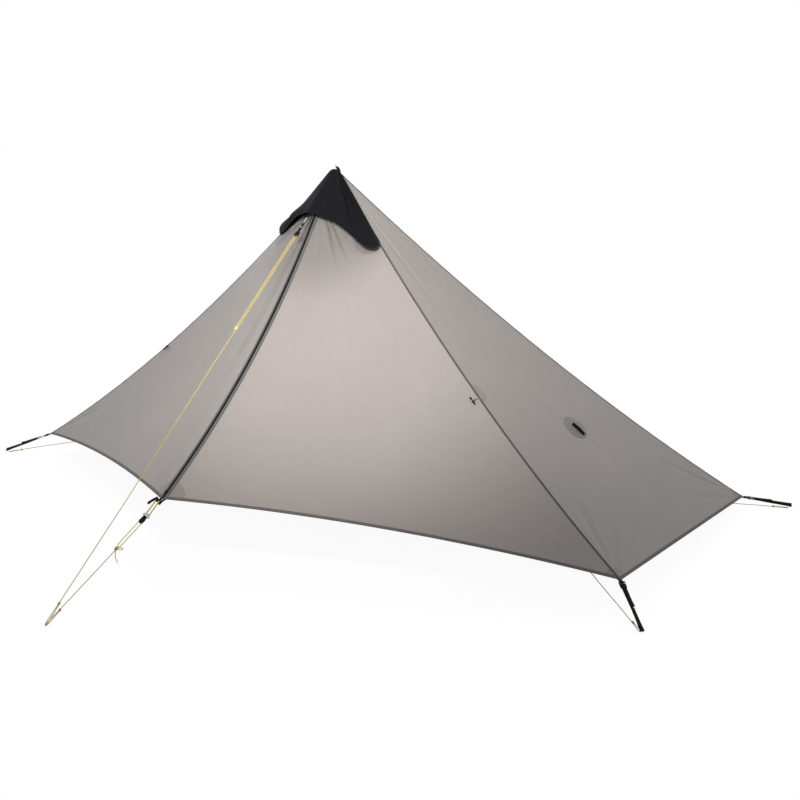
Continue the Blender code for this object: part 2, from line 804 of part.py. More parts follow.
def make_line_lock(name, place, along, out, finish):
    """A cord lock: two plates about a boss that the cord turns round, below the bar that its webbing is sewn to."""
    side = RIGHT
    base = block(name, place + along * 0.013 - out * 0.0026, (along, side, out), (0.026, 0.0170, 0.0018), finish)
    boss = turned(name + "_boss_guide", [(0, -0.0026), (0.0034, -0.0026), (0.0034, 0.0030), (0, 0.0030)],
                  finish, place + along * 0.0150, out, 16)
    cover = block(name + "_cover_guide", place + along * 0.0150 + out * 0.0026, (along, side, out),
                  (0.0110, 0.0170, 0.0018), finish)
    bridge = block(name + "_bridge_guide", place + along * 0.0042, (along, side, out),
                   (0.0080, 0.0164, 0.0050), finish)
    neck = block(name + "_neck_guide", place + along * 0.0070 + out * 0.0026, (along, side, out),
                 (0.0120, 0.0100, 0.0014), finish)
    for guide in (boss, cover, bridge, neck):
        boolean(base, guide, "UNION")
    return base


def line_over_lock(lock, along, knot, peg, half, lift):
    """Route of a line: from its end beside the knot, up round the lock's boss and down to the eye at its peg."""
    turn = []
    for k in range(11):
        angle = math.pi + math.pi * k / 10
        turn.append(lock + along * (0.0150 + half * math.sin(angle)) + RIGHT * half * math.cos(angle))
    left_run = [knot - RIGHT * 0.0036 - along * 0.004, knot - RIGHT * 0.0042 - along * 0.03]
    right_run = [knot + RIGHT * 0.0022 - along * 0.03, knot + RIGHT * 0.0006 + along * 0.004]
    eye = eye_route(peg, knot, 0.050, 0.0055, lift)[::-1]
    return left_run, turn, right_run, eye


def make_front_guy(strap_finish, lock_finish, cord_finish):
    start = PEAK + GUY_DIRECTION * GUY_STRAP_START
    end = PEAK + GUY_DIRECTION * GUY_STRAP_END
    path = [start + (end - start) * t for t in np.linspace(0, 1, 6)]
    ribbon("front_guy_strap", path, RIGHT, 0.0100, 0.0018, strap_finish)
    lock = end + GUY_DIRECTION * GAP
    make_line_lock("front_guy_lock", lock, GUY_DIRECTION, GUY_OUT, lock_finish)
    knot = PEAK + GUY_DIRECTION * GUY_KNOT
    left_run, turn, right_run, eye = line_over_lock(lock, GUY_DIRECTION, knot, VESTIBULE_PEG, STRAND_OFFSET, 0.0028)
    route = left_run + turn + right_run + [knot + GUY_DIRECTION * 0.3, knot + GUY_DIRECTION * 0.7] + eye
    cord("front_guy_line", route, cord_finish)


LINE_DIRECTION = unit(VESTIBULE_PEG - VESTIBULE_TIP)
LINE_OUT = np.array([0.0, LINE_DIRECTION[2], -LINE_DIRECTION[1]])
RING_PLACE = 0.078
LOCK_PLACE = 0.088
LINE_KNOT = 0.2197
LINE_DROP_SIDE = 0.012


def make_vestibule_line(ring_finish, lock_finish, cord_finish):
    ring_centre = VESTIBULE_TIP + LINE_DIRECTION * RING_PLACE
    path = []
    for k in range(24):
        angle = 2 * math.pi * k / 24
        path.append(ring_centre + 0.0090 * (math.cos(angle) * LINE_DIRECTION + math.sin(angle) * LINE_OUT))
    ring("vestibule_ring", path, 0.0020, ring_finish, 8)
    make_cord_loop(cord_finish)
    lock = VESTIBULE_TIP + LINE_DIRECTION * (LOCK_PLACE + 0.006)
    body = make_line_lock("vestibule_lock", lock, LINE_DIRECTION, LINE_OUT, lock_finish)
    bow = [lock + LINE_DIRECTION * 0.0037 + RIGHT * 0.0061]
    for k in range(13):
        angle = math.pi * k / 12
        bow.append(lock - LINE_DIRECTION * (0.0046 + 0.0061 * math.sin(angle)) + RIGHT * 0.0061 * math.cos(angle))
    bow.append(lock + LINE_DIRECTION * 0.0037 - RIGHT * 0.0061)
    boolean(body, cord_guide("vestibule_lock_bow_guide", bow, 0.0014, lock_finish), "UNION")
    knot = VESTIBULE_TIP + LINE_DIRECTION * LINE_KNOT
    left_run, turn, right_run, eye = line_over_lock(lock, LINE_DIRECTION, knot, VESTIBULE_PEG, STRAND_OFFSET, 0.0)
    tail = [knot + np.array([-0.0050, 0.004, -0.050]), knot + np.array([-0.0062, -0.002, -0.030]),
            knot + np.array([-0.0052, -0.001, -0.012])]
    route = tail + left_run[1:] + turn + right_run + [knot + LINE_DIRECTION * 0.12] + eye
    cord("vestibule_line", route, cord_finish)


def cord_guide(name, points, radius, finish):
    """A short round bar along a route, as a mesh."""
    stations = []
    for place, along in zip(points, tangents(points)):
        side = unit(np.cross(along, LINE_OUT))
        out = np.cross(side, along)
        angles = [2 * math.pi * k / 8 for k in range(8)]
        stations.append([place + radius * (math.cos(t) * side + math.sin(t) * out) for t in angles])
    return swept(name, stations, finish)


def make_cord_loop(finish):
    """The small closed loop of cord between the left door's tab and the ring."""
    near = VESTIBULE_TIP + LINE_DIRECTION * TAB_EYE - RIGHT * TAB_OFFSET
    far = VESTIBULE_TIP + LINE_DIRECTION * (RING_PLACE - 0.0090)
    path = []
    for k in range(9):
        angle = -math.pi / 2 + math.pi * k / 8
        path.append(far + 0.0036 * (math.cos(angle) * LINE_DIRECTION + math.sin(angle) * RIGHT))
    for side in (1, -1):
        for k in range(4):
            angle = math.pi * k / 6
            turn = angle if side == 1 else math.pi / 2 - angle
            path.append(near + RIGHT * side * (0.0058 + 0.0020 * math.cos(turn))
                        + LINE_DIRECTION * 0.0020 * (1 - math.sin(turn)))
    ring("vestibule_loop", path, 0.0012, finish, 8)


TAB_EYE = 0.0222
TAB_OFFSET = 0.0082


def tab_base(depth):
    """Two points on the inner side of the right door's foot, and the way across it."""
    normal = RIGHT_DOOR_NORMAL
    across = unit(door_surface(0.02, 1.0) - door_surface(0.005, 1.0))
    places = []
    for v in (0.986, 0.999):
        wide = length_along(door_surface, 0.01, v, 1, 0)
        places.append(door_surface(TAB_OFFSET / wide, v) - normal * depth)
    return places, across


def make_door_tabs(finish):
    """The webbing at the foot of each door: the left one holds the line's loop, the right one is a pull tab."""
    hinge = door_hinge()[0]
    foot = VESTIBULE_TIP + RIGHT * TAB_OFFSET
    base, across = tab_base(0.0027)
    path = [(0.0085, -0.0026)]
    for k in range(9):
        angle = -math.pi / 2 + math.pi * k / 8
        path.append((0.0205 + 0.0042 * math.cos(angle), 0.0042 * math.sin(angle)))
    path.append((0.0110, 0.0006))
    path.append((0.0080, 0.0003))
    places = base + [foot + LINE_DIRECTION * s + LINE_OUT * n for s, n in path]
    axes = [across, across, unit(across + RIGHT)] + [RIGHT] * (len(path) - 1)
    left = ribbon("left_door_tab", [p * MIRROR_X for p in places], [a * MIRROR_X for a in axes],
                  0.0110, WEBBING, finish)
    move_origin(left, hinge * MIRROR_X)
    base, across = tab_base(0.0034)
    path = [(0.0100, -0.0036), (0.0180, -0.0050), (0.0260, -0.0085), (0.0320, -0.0130)]
    places = base + [foot + LINE_DIRECTION * s + LINE_OUT * n for s, n in path]
    right = ribbon("right_door_tab", places, [across, across, unit(across + RIGHT)] + [RIGHT] * 3,
                   0.0110, 0.0026, finish)
    move_origin(right, hinge)


# Toggles and guy-out tabs


def toggle_axes():
    place = front_ridge(TOGGLE_PLACE)
    along = unit(front_ridge(TOGGLE_PLACE + 0.01) - front_ridge(TOGGLE_PLACE - 0.01))
    out = unit(RIGHT_DOOR_NORMAL - along * (RIGHT_DOOR_NORMAL @ along))
    side = np.cross(along, out)
    if side[0] > 0:
        side = -side
    return place, along, out, side


def toggle_centre():
    place, along, out, side = toggle_axes()
    return place + side * 0.0250 + out * 0.0085


def make_toggles(toggle_finish, loop_finish):
    place, along, out, side = toggle_axes()
    centre = toggle_centre()
    waist, bead = 0.0021, TOGGLE_RADIUS
    half = TOGGLE_LENGTH / 2
    profile = [(0, -half), (bead * 0.7, -half + 0.0004), (bead, -half + 0.0020), (bead, -0.0065), (waist, -0.0050),
               (waist, 0.0050), (bead, 0.0065), (bead, half - 0.0020), (bead * 0.7, half - 0.0004), (0, half)]
    radius = waist + 0.0020
    path = [place + side * 0.0062 + out * 0.0034]
    path.append(place + side * 0.0150 + out * 0.0075)
    for k in range(9):
        angle = math.pi * 0.60 - math.pi * 1.20 * k / 8
        path.append(centre + radius * (math.cos(angle) * side + math.sin(angle) * out))
    path.append(place + side * 0.0150 + out * 0.0050)
    path.append(place + side * 0.0064 + out * 0.0014)
    for prefix, flip in (("right", np.ones(3)), ("left", MIRROR_X)):
        bar = turned(prefix + "_toggle", profile, toggle_finish, centre * flip, along * flip, 12)
        move_origin(bar, centre * flip)
        ribbon(prefix + "_toggle_loop", [p * flip for p in path], along * flip, 0.0050, 0.0010, loop_finish)


GUYOUT_PLACE = (0.672, 0.532)
GUYOUT_RADIUS = 0.050
GUYOUT_TAB_SHIFT = 0.012


def make_guyouts(finish):
    """The webbing tab half-way up each end panel, over its round patch."""
    u, v = GUYOUT_PLACE[1], GUYOUT_PLACE[0]
    centre = end_surface(u, v)
    down = unit(end_surface(u, v + 0.02) - end_surface(u, v - 0.02))
    across = unit(end_surface(u + 0.02, v) - end_surface(u - 0.02, v))
    out = unit(np.cross(down, across))
    out = out if out[2] > 0 else -out
    across = np.cross(out, down)
    lift = FABRIC / 2 + 0.0006
    slopes = np.stack([(end_surface(u + 0.01, v) - end_surface(u - 0.01, v)) / 0.02,
                       (end_surface(u, v + 0.01) - end_surface(u, v - 0.01)) / 0.02], axis=1)
    sides = 24
    disc = []
    for k in range(sides):
        angle = 2 * math.pi * k / sides
        spoke = GUYOUT_RADIUS * (down * math.cos(angle) + across * math.sin(angle))
        step = np.linalg.lstsq(slopes, spoke, rcond=None)[0]
        disc.append(end_surface(u + step[0], v + step[1]))
    for prefix, flip in (("right", np.ones(3)), ("left", MIRROR_X)):
        outlines = [[(p + out * h) * flip for p in disc] for h in (lift, lift + 0.0010)]
        patch = swept(prefix + "_guyout", outlines, finish)
        arch = [(-0.0275, 0.0008), (-0.020, 0.0012), (-0.0145, 0.0070), (0.0, 0.0102),
                (0.0145, 0.0070), (0.020, 0.0012), (0.0275, 0.0008)]
        places = [(centre + down * (GUYOUT_TAB_SHIFT + s) + out * (lift + n)) * flip for s, n in arch]
        tab = ribbon(prefix + "_guyout_tab_guide", places, across * flip, 0.0100, 0.0014, finish)
        boolean(patch, tab, "UNION")


# Inner tent


def make_inner_floor(finish):
    """The bathtub floor: an open tray with leaning walls."""
    def outline(height, inset):
        long = INNER_HALF_LENGTH - inset
        near, far = INNER_FRONT + inset * 0.45, INNER_BACK - inset * 2.3
        return [np.array(p) for p in ((-long, near, height), (long, near, height),
                                      (long, far, height), (-long, far, height))]
    wall = TUB_THICKNESS
    inner_low = outline(wall, wall * 1.2)
    inner_high = outline(TUB_HEIGHT, TUB_LEAN + wall)
    stations = [outline(0.0, 0.0), outline(TUB_HEIGHT, TUB_LEAN), inner_high, inner_low]
    swept("inner_floor", stations, finish)


def tub_rim():
    long = INNER_HALF_LENGTH - TUB_LEAN - TUB_THICKNESS / 2
    near = INNER_FRONT + (TUB_LEAN + TUB_THICKNESS / 2) * 0.45
    far = INNER_BACK - (TUB_LEAN + TUB_THICKNESS / 2) * 2.3
    height = TUB_HEIGHT + 0.0020
    return [np.array(p) for p in ((-long, near, height), (long, near, height), (long, far, height), (-long, far, height))]


def front_wall_point(x, z):
    """A point of the inner's flat front wall."""
    rim = tub_rim()
    share = (z - rim[0][2]) / (INNER_PEAK[2] - rim[0][2])
    return np.array([x, rim[0][1] * (1 - share) + INNER_PEAK[1] * share, z])


DOORWAY = ((0.050, 0.130), (0.780, 0.130), (0.050, 0.800))


def make_inner_canopy(finish):
    """The mesh pyramid, with the doorway in its front wall."""
    rim = tub_rim()
    opening = [front_wall_point(x, z) for x, z in DOORWAY]
    points = rim + [INNER_PEAK] + opening
    faces = [(0, 1, 6, 5), (1, 4, 7, 6), (4, 0, 5, 7), (1, 2, 4), (2, 3, 4), (3, 0, 4)]
    canopy = add_object("inner_canopy", points, faces, finish)
    solidify = canopy.modifiers.new("thickness", "SOLIDIFY")
    solidify.thickness = MESH_FABRIC
    solidify.offset = -1.0
    solidify.use_even_offset = True


def make_inner_door(finish):
    """The triangular mesh door, hinged along its sloping edge."""
    opening = [front_wall_point(x, z) for x, z in DOORWAY]
    middle = sum(opening) / 3
    edge = 0.0030
    corners = []
    for p in opening:
        corners.append(p + (middle - p) * edge / 0.14)
    normal = unit(np.cross(opening[1] - opening[0], opening[2] - opening[0]))
    outline = [[p + normal * h for p in corners] for h in (-MESH_FABRIC / 2, MESH_FABRIC / 2)]
    door = swept("inner_door", outline, finish)
    move_origin(door, opening[1])


def make_inner_hook(finish):
    """The strap that hangs the inner tent's peak under the fly, behind the pole."""
    top = np.array([0.0, 0.0200, 1.1350])
    low = INNER_PEAK + np.array([0.0, 0.0, 0.0020])
    path = [low, low + np.array([0.0, -0.004, 0.020]), low + np.array([0.0, -0.014, 0.050]), top]
    ribbon("inner_hang_strap", path, RIGHT, 0.0100, WEBBING, finish)


# Pole


def make_pole(grip_finish, tube_finish, clamp_finish):
    grip = [(0, GRIP_BOTTOM), (0.0125, GRIP_BOTTOM), (0.0150, GRIP_BOTTOM + 0.012), (0.0135, GRIP_BOTTOM + 0.045),
            (0.0150, GRIP_BOTTOM + 0.080), (0.0140, POLE_TOP - 0.012), (0.0080, POLE_TOP), (0, POLE_TOP)]
    turned("pole_grip", grip, grip_finish)
    make_tube("pole_upper_tube", UPPER_TUBE_RADIUS, CLAMP_HEIGHT + 0.022, GRIP_BOTTOM - GAP, tube_finish)
    make_clamp(clamp_finish)
    lower_top = CLAMP_HEIGHT + 0.110
    profile = [(0, 0.062), (LOWER_TUBE_RADIUS, 0.062), (LOWER_TUBE_RADIUS, lower_top), (0, lower_top)]
    turned("pole_lower_tube", profile, tube_finish)
    tip = [(0, 0.0), (0.0035, 0.0), (0.0045, 0.012), (0.0075, 0.016), (0.0075, 0.028), (0.0240, 0.0300),
           (0.0250, 0.0325), (0.0240, 0.0345), (0.0090, 0.0370), (0.0085, 0.062 - GAP), (0, 0.062 - GAP)]
    turned("pole_tip", tip, clamp_finish)


def make_tube(name, radius, low, high, finish):
    """A tube: its outer and inner walls as one turned ring."""
    steps = 24
    stations = []
    for k in range(steps):
        angle = 2 * math.pi * k / steps
        spoke = np.array([math.cos(angle), math.sin(angle), 0.0])
        stations.append([spoke * r + UP * z for r, z in ((radius, low), (radius, high),
                                                        (radius - TUBE_WALL, high), (radius - TUBE_WALL, low))])
    return swept(name, stations, finish, closed=True)


CLAMP_PIVOT = np.array([0.0135, -0.0100, CLAMP_HEIGHT + 0.0240])


def make_clamp(finish):
    """The flick lock: a split collar round the tubes, and its lever on a pin at the side."""
    steps = 24
    stations = []
    for k in range(steps):
        angle = 2 * math.pi * k / steps
        spoke = np.array([math.cos(angle), math.sin(angle), 0.0])
        section = ((0.0130, -0.004), (0.0130, 0.030), (0.0094, 0.030), (0.0094, 0.0215), (0.0074, 0.0205),
                   (0.0074, -0.004))
        stations.append([spoke * r + UP * (CLAMP_HEIGHT + z) for r, z in section])
    swept("pole_clamp", stations, finish, closed=True)
    lever = block("pole_clamp_lever", np.array([0.0155, 0.0, CLAMP_HEIGHT + 0.0115]), (RIGHT, BACKWARD, UP),
                  (0.0036, 0.0150, 0.0290), finish)
    bevel = lever.modifiers.new("edges", "BEVEL")
    bevel.width = 0.0009
    bevel.segments = 2
    move_origin(lever, np.array([0.0155, 0.0, CLAMP_HEIGHT + 0.0245]))


def main():
    clear_scene()
    fly = material("fly_fabric", (0.33, 0.30, 0.27), 0.55)
    hem = material("hem_binding", (0.12, 0.11, 0.10), 0.7)
    seam = material("ridge_seam", (0.17, 0.15, 0.13), 0.65)
    black_cloth = material("hood_fabric", (0.018, 0.018, 0.022), 0.6)
    webbing = material("black_webbing", (0.012, 0.012, 0.014), 0.75)
    plastic = material("black_plastic", (0.015, 0.015, 0.016), 0.4)
    zip_black = material("zip_tape", (0.014, 0.014, 0.016), 0.6)
    yellow = material("yellow_cord", (0.62, 0.42, 0.03), 0.6)
    clear_ring = material("ring_plastic", (0.80, 0.80, 0.80), 0.3)
    mesh = material("inner_mesh", (0.10, 0.10, 0.11), 0.8)
    floor = material("floor_fabric", (0.08, 0.08, 0.09), 0.5)
    alloy = material("pole_alloy", (0.35, 0.36, 0.38), 0.3, 1.0)
    foam = material("grip_foam", (0.03, 0.03, 0.03), 0.9)
    grey_tape = material("grey_tape", (0.22, 0.21, 0.20), 0.7)

    make_end_panels(fly, hem)
    make_back_panel(fly, hem)
    make_doors(fly, hem, zip_black)
    make_front_panels(fly)
    make_vent_panel(mesh)
    make_seams(seam)
    make_peak_cap(black_cloth)
    make_hood(black_cloth, webbing)
    make_zip_slider(plastic)
    for prefix, corner, peg, tail_share in CORNERS:
        make_corner(prefix, corner, peg, tail_share, webbing, plastic)
    make_inner_lines(yellow)
    make_front_guy(webbing, plastic, yellow)
    make_vestibule_line(clear_ring, plastic, yellow)
    make_door_tabs(webbing)
    make_toggles(plastic, grey_tape)
    make_guyouts(webbing)
    make_inner_floor(floor)
    make_inner_canopy(mesh)
    make_inner_door(mesh)
    make_inner_hook(webbing)
    make_pole(foam, alloy, plastic)


main()
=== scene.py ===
"""Single-pole ultralight tent, dressed: pitched cloth with its wrinkles, seams, webbing, cords and pole."""

import math

import bmesh
import bpy
import numpy as np
from mathutils import Matrix, Vector


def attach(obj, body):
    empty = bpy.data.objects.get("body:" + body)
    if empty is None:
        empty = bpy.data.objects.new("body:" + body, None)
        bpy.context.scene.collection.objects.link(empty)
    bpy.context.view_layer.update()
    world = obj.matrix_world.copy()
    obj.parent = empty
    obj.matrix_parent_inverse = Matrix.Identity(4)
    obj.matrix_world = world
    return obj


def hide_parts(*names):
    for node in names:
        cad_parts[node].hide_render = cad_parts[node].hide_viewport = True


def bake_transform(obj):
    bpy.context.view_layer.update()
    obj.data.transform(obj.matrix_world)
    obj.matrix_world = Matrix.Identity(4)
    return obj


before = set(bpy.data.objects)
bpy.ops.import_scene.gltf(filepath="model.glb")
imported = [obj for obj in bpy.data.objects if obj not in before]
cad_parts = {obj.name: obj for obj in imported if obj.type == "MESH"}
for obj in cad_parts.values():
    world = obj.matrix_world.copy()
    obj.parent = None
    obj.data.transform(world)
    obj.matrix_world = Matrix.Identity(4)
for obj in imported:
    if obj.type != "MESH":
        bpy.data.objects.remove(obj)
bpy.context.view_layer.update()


def vec(*numbers):
    return np.array(numbers, float)


def unit(vector):
    return vector / np.linalg.norm(vector)


def facing(vector, way):
    """The vector, turned round if it points away from the given way."""
    return vector if vector @ way > 0 else -vector


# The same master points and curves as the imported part, in metres
PEAK = vec(0, 0, 1.25)
FRONT_CORNER = vec(1.342, -0.345, 0.105)
REAR_CORNER = vec(1.331, 0.761, 0.042)
VESTIBULE_TIP = vec(0, -0.926, 0.256)
ZIP_TOP = vec(0, -0.147, 1.078)
FRONT_SAG, REAR_SAG = 0.075, 0.059
ZIP_SAGITTA = 0.051
DOOR_HEM_ARCH, REAR_HEM_ARCH = 0.031, 0.020
VENT_BOTTOM_ON_RIDGE = 0.235
PANEL_START = 0.035
VESTIBULE_PEG = vec(0, -1.396, 0)
PEGS = {
    "front_left": vec(-1.561, -0.409, 0),
    "front_right": vec(1.452, -0.432, 0),
    "rear_right": vec(1.479, 0.854, 0),
    "rear_left": vec(-1.479, 0.854, 0),
}
CORD_RADIUS = 0.0013
STRAND_OFFSET = 0.0048
UP, RIGHT, BACKWARD = vec(0, 0, 1), vec(1, 0, 0), vec(0, 1, 0)
MIRROR_X = vec(-1, 1, 1)
SIDES = {"right": vec(1, 1, 1), "left": MIRROR_X}
ON_GROUND, ON_MIDDLE = vec(1, 1, 0), vec(0, 1, 1)

# Camera of the photograph, for an 800 by 800 picture
CAMERA_AZIMUTH = math.radians(35.012)
CAMERA_ELEVATION = math.radians(14.848)
CAMERA_TARGET = (0.605, -0.347, 0.55)
CAMERA_DISTANCE = 3.654
CAMERA_LENS, SENSOR_WIDTH = 50.485, 36.0
CAMERA_SHIFT = (-18.898 / 800, 0.595 / 800)

# Light: the strengths are those of the photograph's plain studio
SKY, SKY_STRENGTH = (0.97, 0.985, 1.0), 0.352
KEY_PLACE, KEY_AIM, KEY_POWER = (1.098, -2.006, 1.899), (0.081, -0.13, 1.010), 229
KEY_HALF_ANGLE, KEY_RADIUS = 0.598, 0.22
TOP_PLACE, TOP_AIM, TOP_POWER, TOP_SIZE = (-0.6, 1.6, 4.5), (0, 0, 0.5), 18.7, 3.0
FLOOR_HALF, FLOOR_HEIGHT = 30.0, -0.0006
FLOOR_GREY, FLOOR_SHADED, FLOOR_GLOW = (0.80,) * 3, (0.16,) * 3, 0.94


def ridge(corner, sag):
    """A sagging ridge seam, as a curve of t from the peak at 0 to its corner at 1."""
    return lambda t: PEAK * (1 - t) + corner * t - UP * sag * 4 * t * (1 - t)


front_ridge = ridge(FRONT_CORNER, FRONT_SAG)
rear_ridge = ridge(REAR_CORNER, REAR_SAG)


def zip_arc():
    chord = VESTIBULE_TIP - ZIP_TOP
    radius = (np.linalg.norm(chord)**2 / 4 + ZIP_SAGITTA**2) / (2 * ZIP_SAGITTA)
    outward = unit(vec(0, chord[2], -chord[1]))
    centre = (ZIP_TOP + VESTIBULE_TIP) / 2 + outward * (radius - ZIP_SAGITTA)
    start, end = (math.atan2(p[2], p[1]) for p in (ZIP_TOP - centre, VESTIBULE_TIP - centre))
    return centre, radius, start, end - start


ZIP_CENTRE, ZIP_RADIUS, ZIP_START, ZIP_TURN = zip_arc()


def zip_curve(t):
    angle = ZIP_START + ZIP_TURN * t
    return ZIP_CENTRE + ZIP_RADIUS * vec(0, math.cos(angle), math.sin(angle))


def door_surface(u, v):
    """The right door, from the zip at u 0 to the ridge at u 1, and down to its hem at v 1."""
    outer = front_ridge(VENT_BOTTOM_ON_RIDGE + (1 - VENT_BOTTOM_ON_RIDGE) * v)
    rise = unit(PEAK - (VESTIBULE_TIP + FRONT_CORNER) / 2) * DOOR_HEM_ARCH * max(v, 0.0)**2
    return zip_curve(v) * (1 - u) + outer * u + rise * 4 * u * (1 - u)


def end_surface(u, v):
    t = PANEL_START + (1 - PANEL_START) * v
    return front_ridge(t) * (1 - u) + rear_ridge(t) * u


def back_surface(u, v):
    right = rear_ridge(PANEL_START + (1 - PANEL_START) * v)
    rise = unit(PEAK - REAR_CORNER * ON_MIDDLE) * REAR_HEM_ARCH * v**2
    return right * (1 - u) + right * MIRROR_X * u + rise * 4 * u * (1 - u)


def panel_normal(a, b):
    return unit(np.cross(a - PEAK, b - PEAK))


DOOR_NORMAL = panel_normal(VESTIBULE_TIP, FRONT_CORNER)
END_NORMAL = panel_normal(FRONT_CORNER, REAR_CORNER)
BACK_NORMAL = panel_normal(REAR_CORNER, REAR_CORNER * MIRROR_X)
FRONT_RIDGE_OUT = unit(DOOR_NORMAL + END_NORMAL)
REAR_RIDGE_OUT = unit(END_NORMAL + BACK_NORMAL)

# Materials


def scaled(colour, share):
    return tuple(c * share for c in colour)


class Nodes:
    """A few short calls for building the node tree of a material or a world."""

    def __init__(self, owner):
        owner.use_nodes = True
        self.owner, self.tree = owner, owner.node_tree

    def put(self, socket, value):
        """Link a socket, or set its number, vector or colour."""
        if isinstance(value, bpy.types.NodeSocket):
            self.tree.links.new(value, socket)
        else:
            socket.default_value = (*value, 1) if socket.type == "RGBA" else value

    def add(self, kind, inputs=None, **values):
        node = self.tree.nodes.new("ShaderNode" + kind)
        for key, value in values.items():
            setattr(node, key, value)
        for key, value in (inputs or {}).items():
            self.put(node.inputs[key], value)
        return node

    def coordinates(self, kind, scale=(1, 1, 1), turn=0):
        inputs = {"Vector": self.add("TexCoord").outputs[kind], "Scale": scale, "Rotation": (0, 0, math.radians(turn))}
        return self.add("Mapping", inputs).outputs["Vector"]

    def noise(self, vector, scale, detail=3.0, roughness=0.5):
        inputs = {"Vector": vector, "Scale": scale, "Detail": detail, "Roughness": roughness}
        return self.add("TexNoise", inputs).outputs["Fac"]

    def wave(self, vector, scale, direction="X", distortion=0.0):
        inputs = {"Vector": vector, "Scale": scale, "Distortion": distortion}
        return self.add("TexWave", inputs, bands_direction=direction).outputs["Fac"]

    def math(self, operation, a, b=0.0, clamp=False):
        return self.add("Math", {0: a, 1: b}, operation=operation, use_clamp=clamp).outputs[0]

    def blended(self, a, share, b):
        return self.math("ADD", self.math("MULTIPLY", a, share), self.math("MULTIPLY", b, 1 - share))

    def line(self, value, middle, half):
        """1 where a value is at the middle, falling to 0 on both sides."""
        away = self.math("ABSOLUTE", self.math("SUBTRACT", value, middle))
        return self.math("SUBTRACT", 1.0, self.math("DIVIDE", away, half), True)

    def shades(self, factor, colour, *stops):
        """The colour times a share, between two stops of (factor, share)."""
        node = self.add("ValToRGB", {"Fac": factor})
        for element, (place, share) in zip(node.color_ramp.elements, stops):
            element.position = place
            element.color = (*scaled(colour, share), 1)
        return node.outputs["Color"]

    def spread(self, factor, low, high):
        return self.add("MapRange", {"Value": factor, "To Min": low, "To Max": high}).outputs["Result"]

    def towards(self, base, colour, mask, share):
        """The base, moved towards a colour by a share of a mask."""
        inputs = {"Factor": self.math("MULTIPLY", mask, share), "A": base, "B": colour}
        return self.add("Mix", inputs, data_type="RGBA").outputs["Result"]

    def bump(self, height, strength, distance, before=None):
        inputs = {"Height": height, "Strength": strength, "Distance": distance}
        if before is not None:
            inputs["Normal"] = before
        return self.add("Bump", inputs).outputs["Normal"]

    def by_ray(self, lighting, seen):
        """One shader for the light on the object, and another for rays that look straight at it."""
        path = self.add("LightPath").outputs
        looking = path["Is Camera Ray"]
        for kind in ("Is Glossy Ray", "Is Transmission Ray"):
            looking = self.math("MAXIMUM", looking, path[kind])
        return self.add("MixShader", {"Fac": looking, 1: lighting.outputs[0], 2: seen.outputs[0]}).outputs[0]

    def finish(self, colour, roughness, normal, **values):
        shader = self.tree.nodes["Principled BSDF"]
        values = {"Base Color": colour, "Roughness": roughness, "Normal": normal, **values}
        for name, value in values.items():
            self.put(shader.inputs[name.replace("_", " ")], value)
        return self.owner


def material_nodes(name):
    return Nodes(bpy.data.materials.new(name))


def coated_cloth(name, colour, roughness=0.46, contrast=0.05, sheen=0.2, specular=0.4, patch=0.86):
    """Thin coated nylon: ripstop grid, faint yarn, cloudy tone, darker where doubled, and darker still by a painted
    shadow of the hood where its points carry one.
    """
    n = material_nodes(name)
    flat, place = n.coordinates("UV"), n.coordinates("Object")
    tone = n.blended(n.noise(place, 3.2, 4.0, 0.55), 0.65, n.noise(place, 38.0, 3.0, 0.6))
    base = n.shades(tone, colour, (0.25, 1 - contrast), (0.75, 1 + contrast))
    rip = n.math("MAXIMUM", *(n.math("POWER", n.wave(flat, RIPSTOP, way), 24.0) for way in "XY"))
    base = n.towards(base, scaled(colour, 0.80), rip, 0.10)
    depth = n.add("Attribute", attribute_name="second_layer").outputs["Fac"]
    base = n.towards(base, DARKEST, n.math("DIVIDE", depth, 0.0012, True), 1.0 - patch)
    # Painted shade: the cloth is pulled up to 30% towards black where its points hold the painted shadow of the hood
    base = n.towards(base, DARKEST, n.add("Attribute", attribute_name="painted_hood_shade").outputs["Fac"], 0.30)
    row = n.line(depth, 0.0035, 0.0008)
    base = n.towards(base, DARKEST, row, 0.25)
    yarn = n.math("MULTIPLY", *(n.wave(flat, 420.0, way, 0.6) for way in "XY"))
    relief = n.bump(rip, 0.25, 0.0003)
    relief = n.bump(row, 0.35, 0.0005, relief)
    relief = n.bump(yarn, 0.12, 0.0002, relief)
    relief = n.bump(n.noise(place, 24.0, 4.0, 0.55), 0.10, 0.004, relief)
    rough = n.spread(n.noise(place, 9.0), roughness - 0.05, roughness + 0.07)
    return n.finish(base, rough, relief, Sheen_Weight=sheen, Sheen_Roughness=0.4, Specular_IOR_Level=specular)


def woven_tape(name, colour, ribs=262.0, roughness=0.7, specular=0.3, stitches=()):
    """Webbing and bindings: ribs across the band, and one or two rows of stitches at distances from its edge."""
    n = material_nodes(name)
    flat = n.coordinates("UV")
    along = n.math("ADD", n.math("MULTIPLY", n.wave(flat, ribs * 0.8, "Y", 0.3), 0.5), 0.5)
    weave = n.math("MULTIPLY", n.wave(flat, ribs, "X", 0.4), along)
    fuzz = n.noise(n.coordinates("Object"), 160.0, 3.0, 0.6)
    base = n.shades(n.blended(weave, 0.6, fuzz), colour, (0.15, 0.72), (0.85, 1.25))
    relief = n.bump(weave, 0.5, 0.0004)
    if stitches:
        across = n.add("SeparateXYZ", {0: flat}).outputs["Y"]
        rows = [n.line(across, place, 0.0006) for place in stitches]
        dash = n.math("GREATER_THAN", n.wave(flat, 105.0), 0.30)
        thread = n.math("MULTIPLY", n.math("MAXIMUM", rows[0], rows[-1]), dash)
        base = n.towards(base, scaled(colour, 0.45), thread, 0.8)
        relief = n.bump(thread, 0.6, 0.0006, relief)
    rough = n.spread(fuzz, roughness - 0.08, roughness + 0.08)
    return n.finish(base, rough, relief, Sheen_Weight=0.05, Sheen_Roughness=0.5, Specular_IOR_Level=specular)


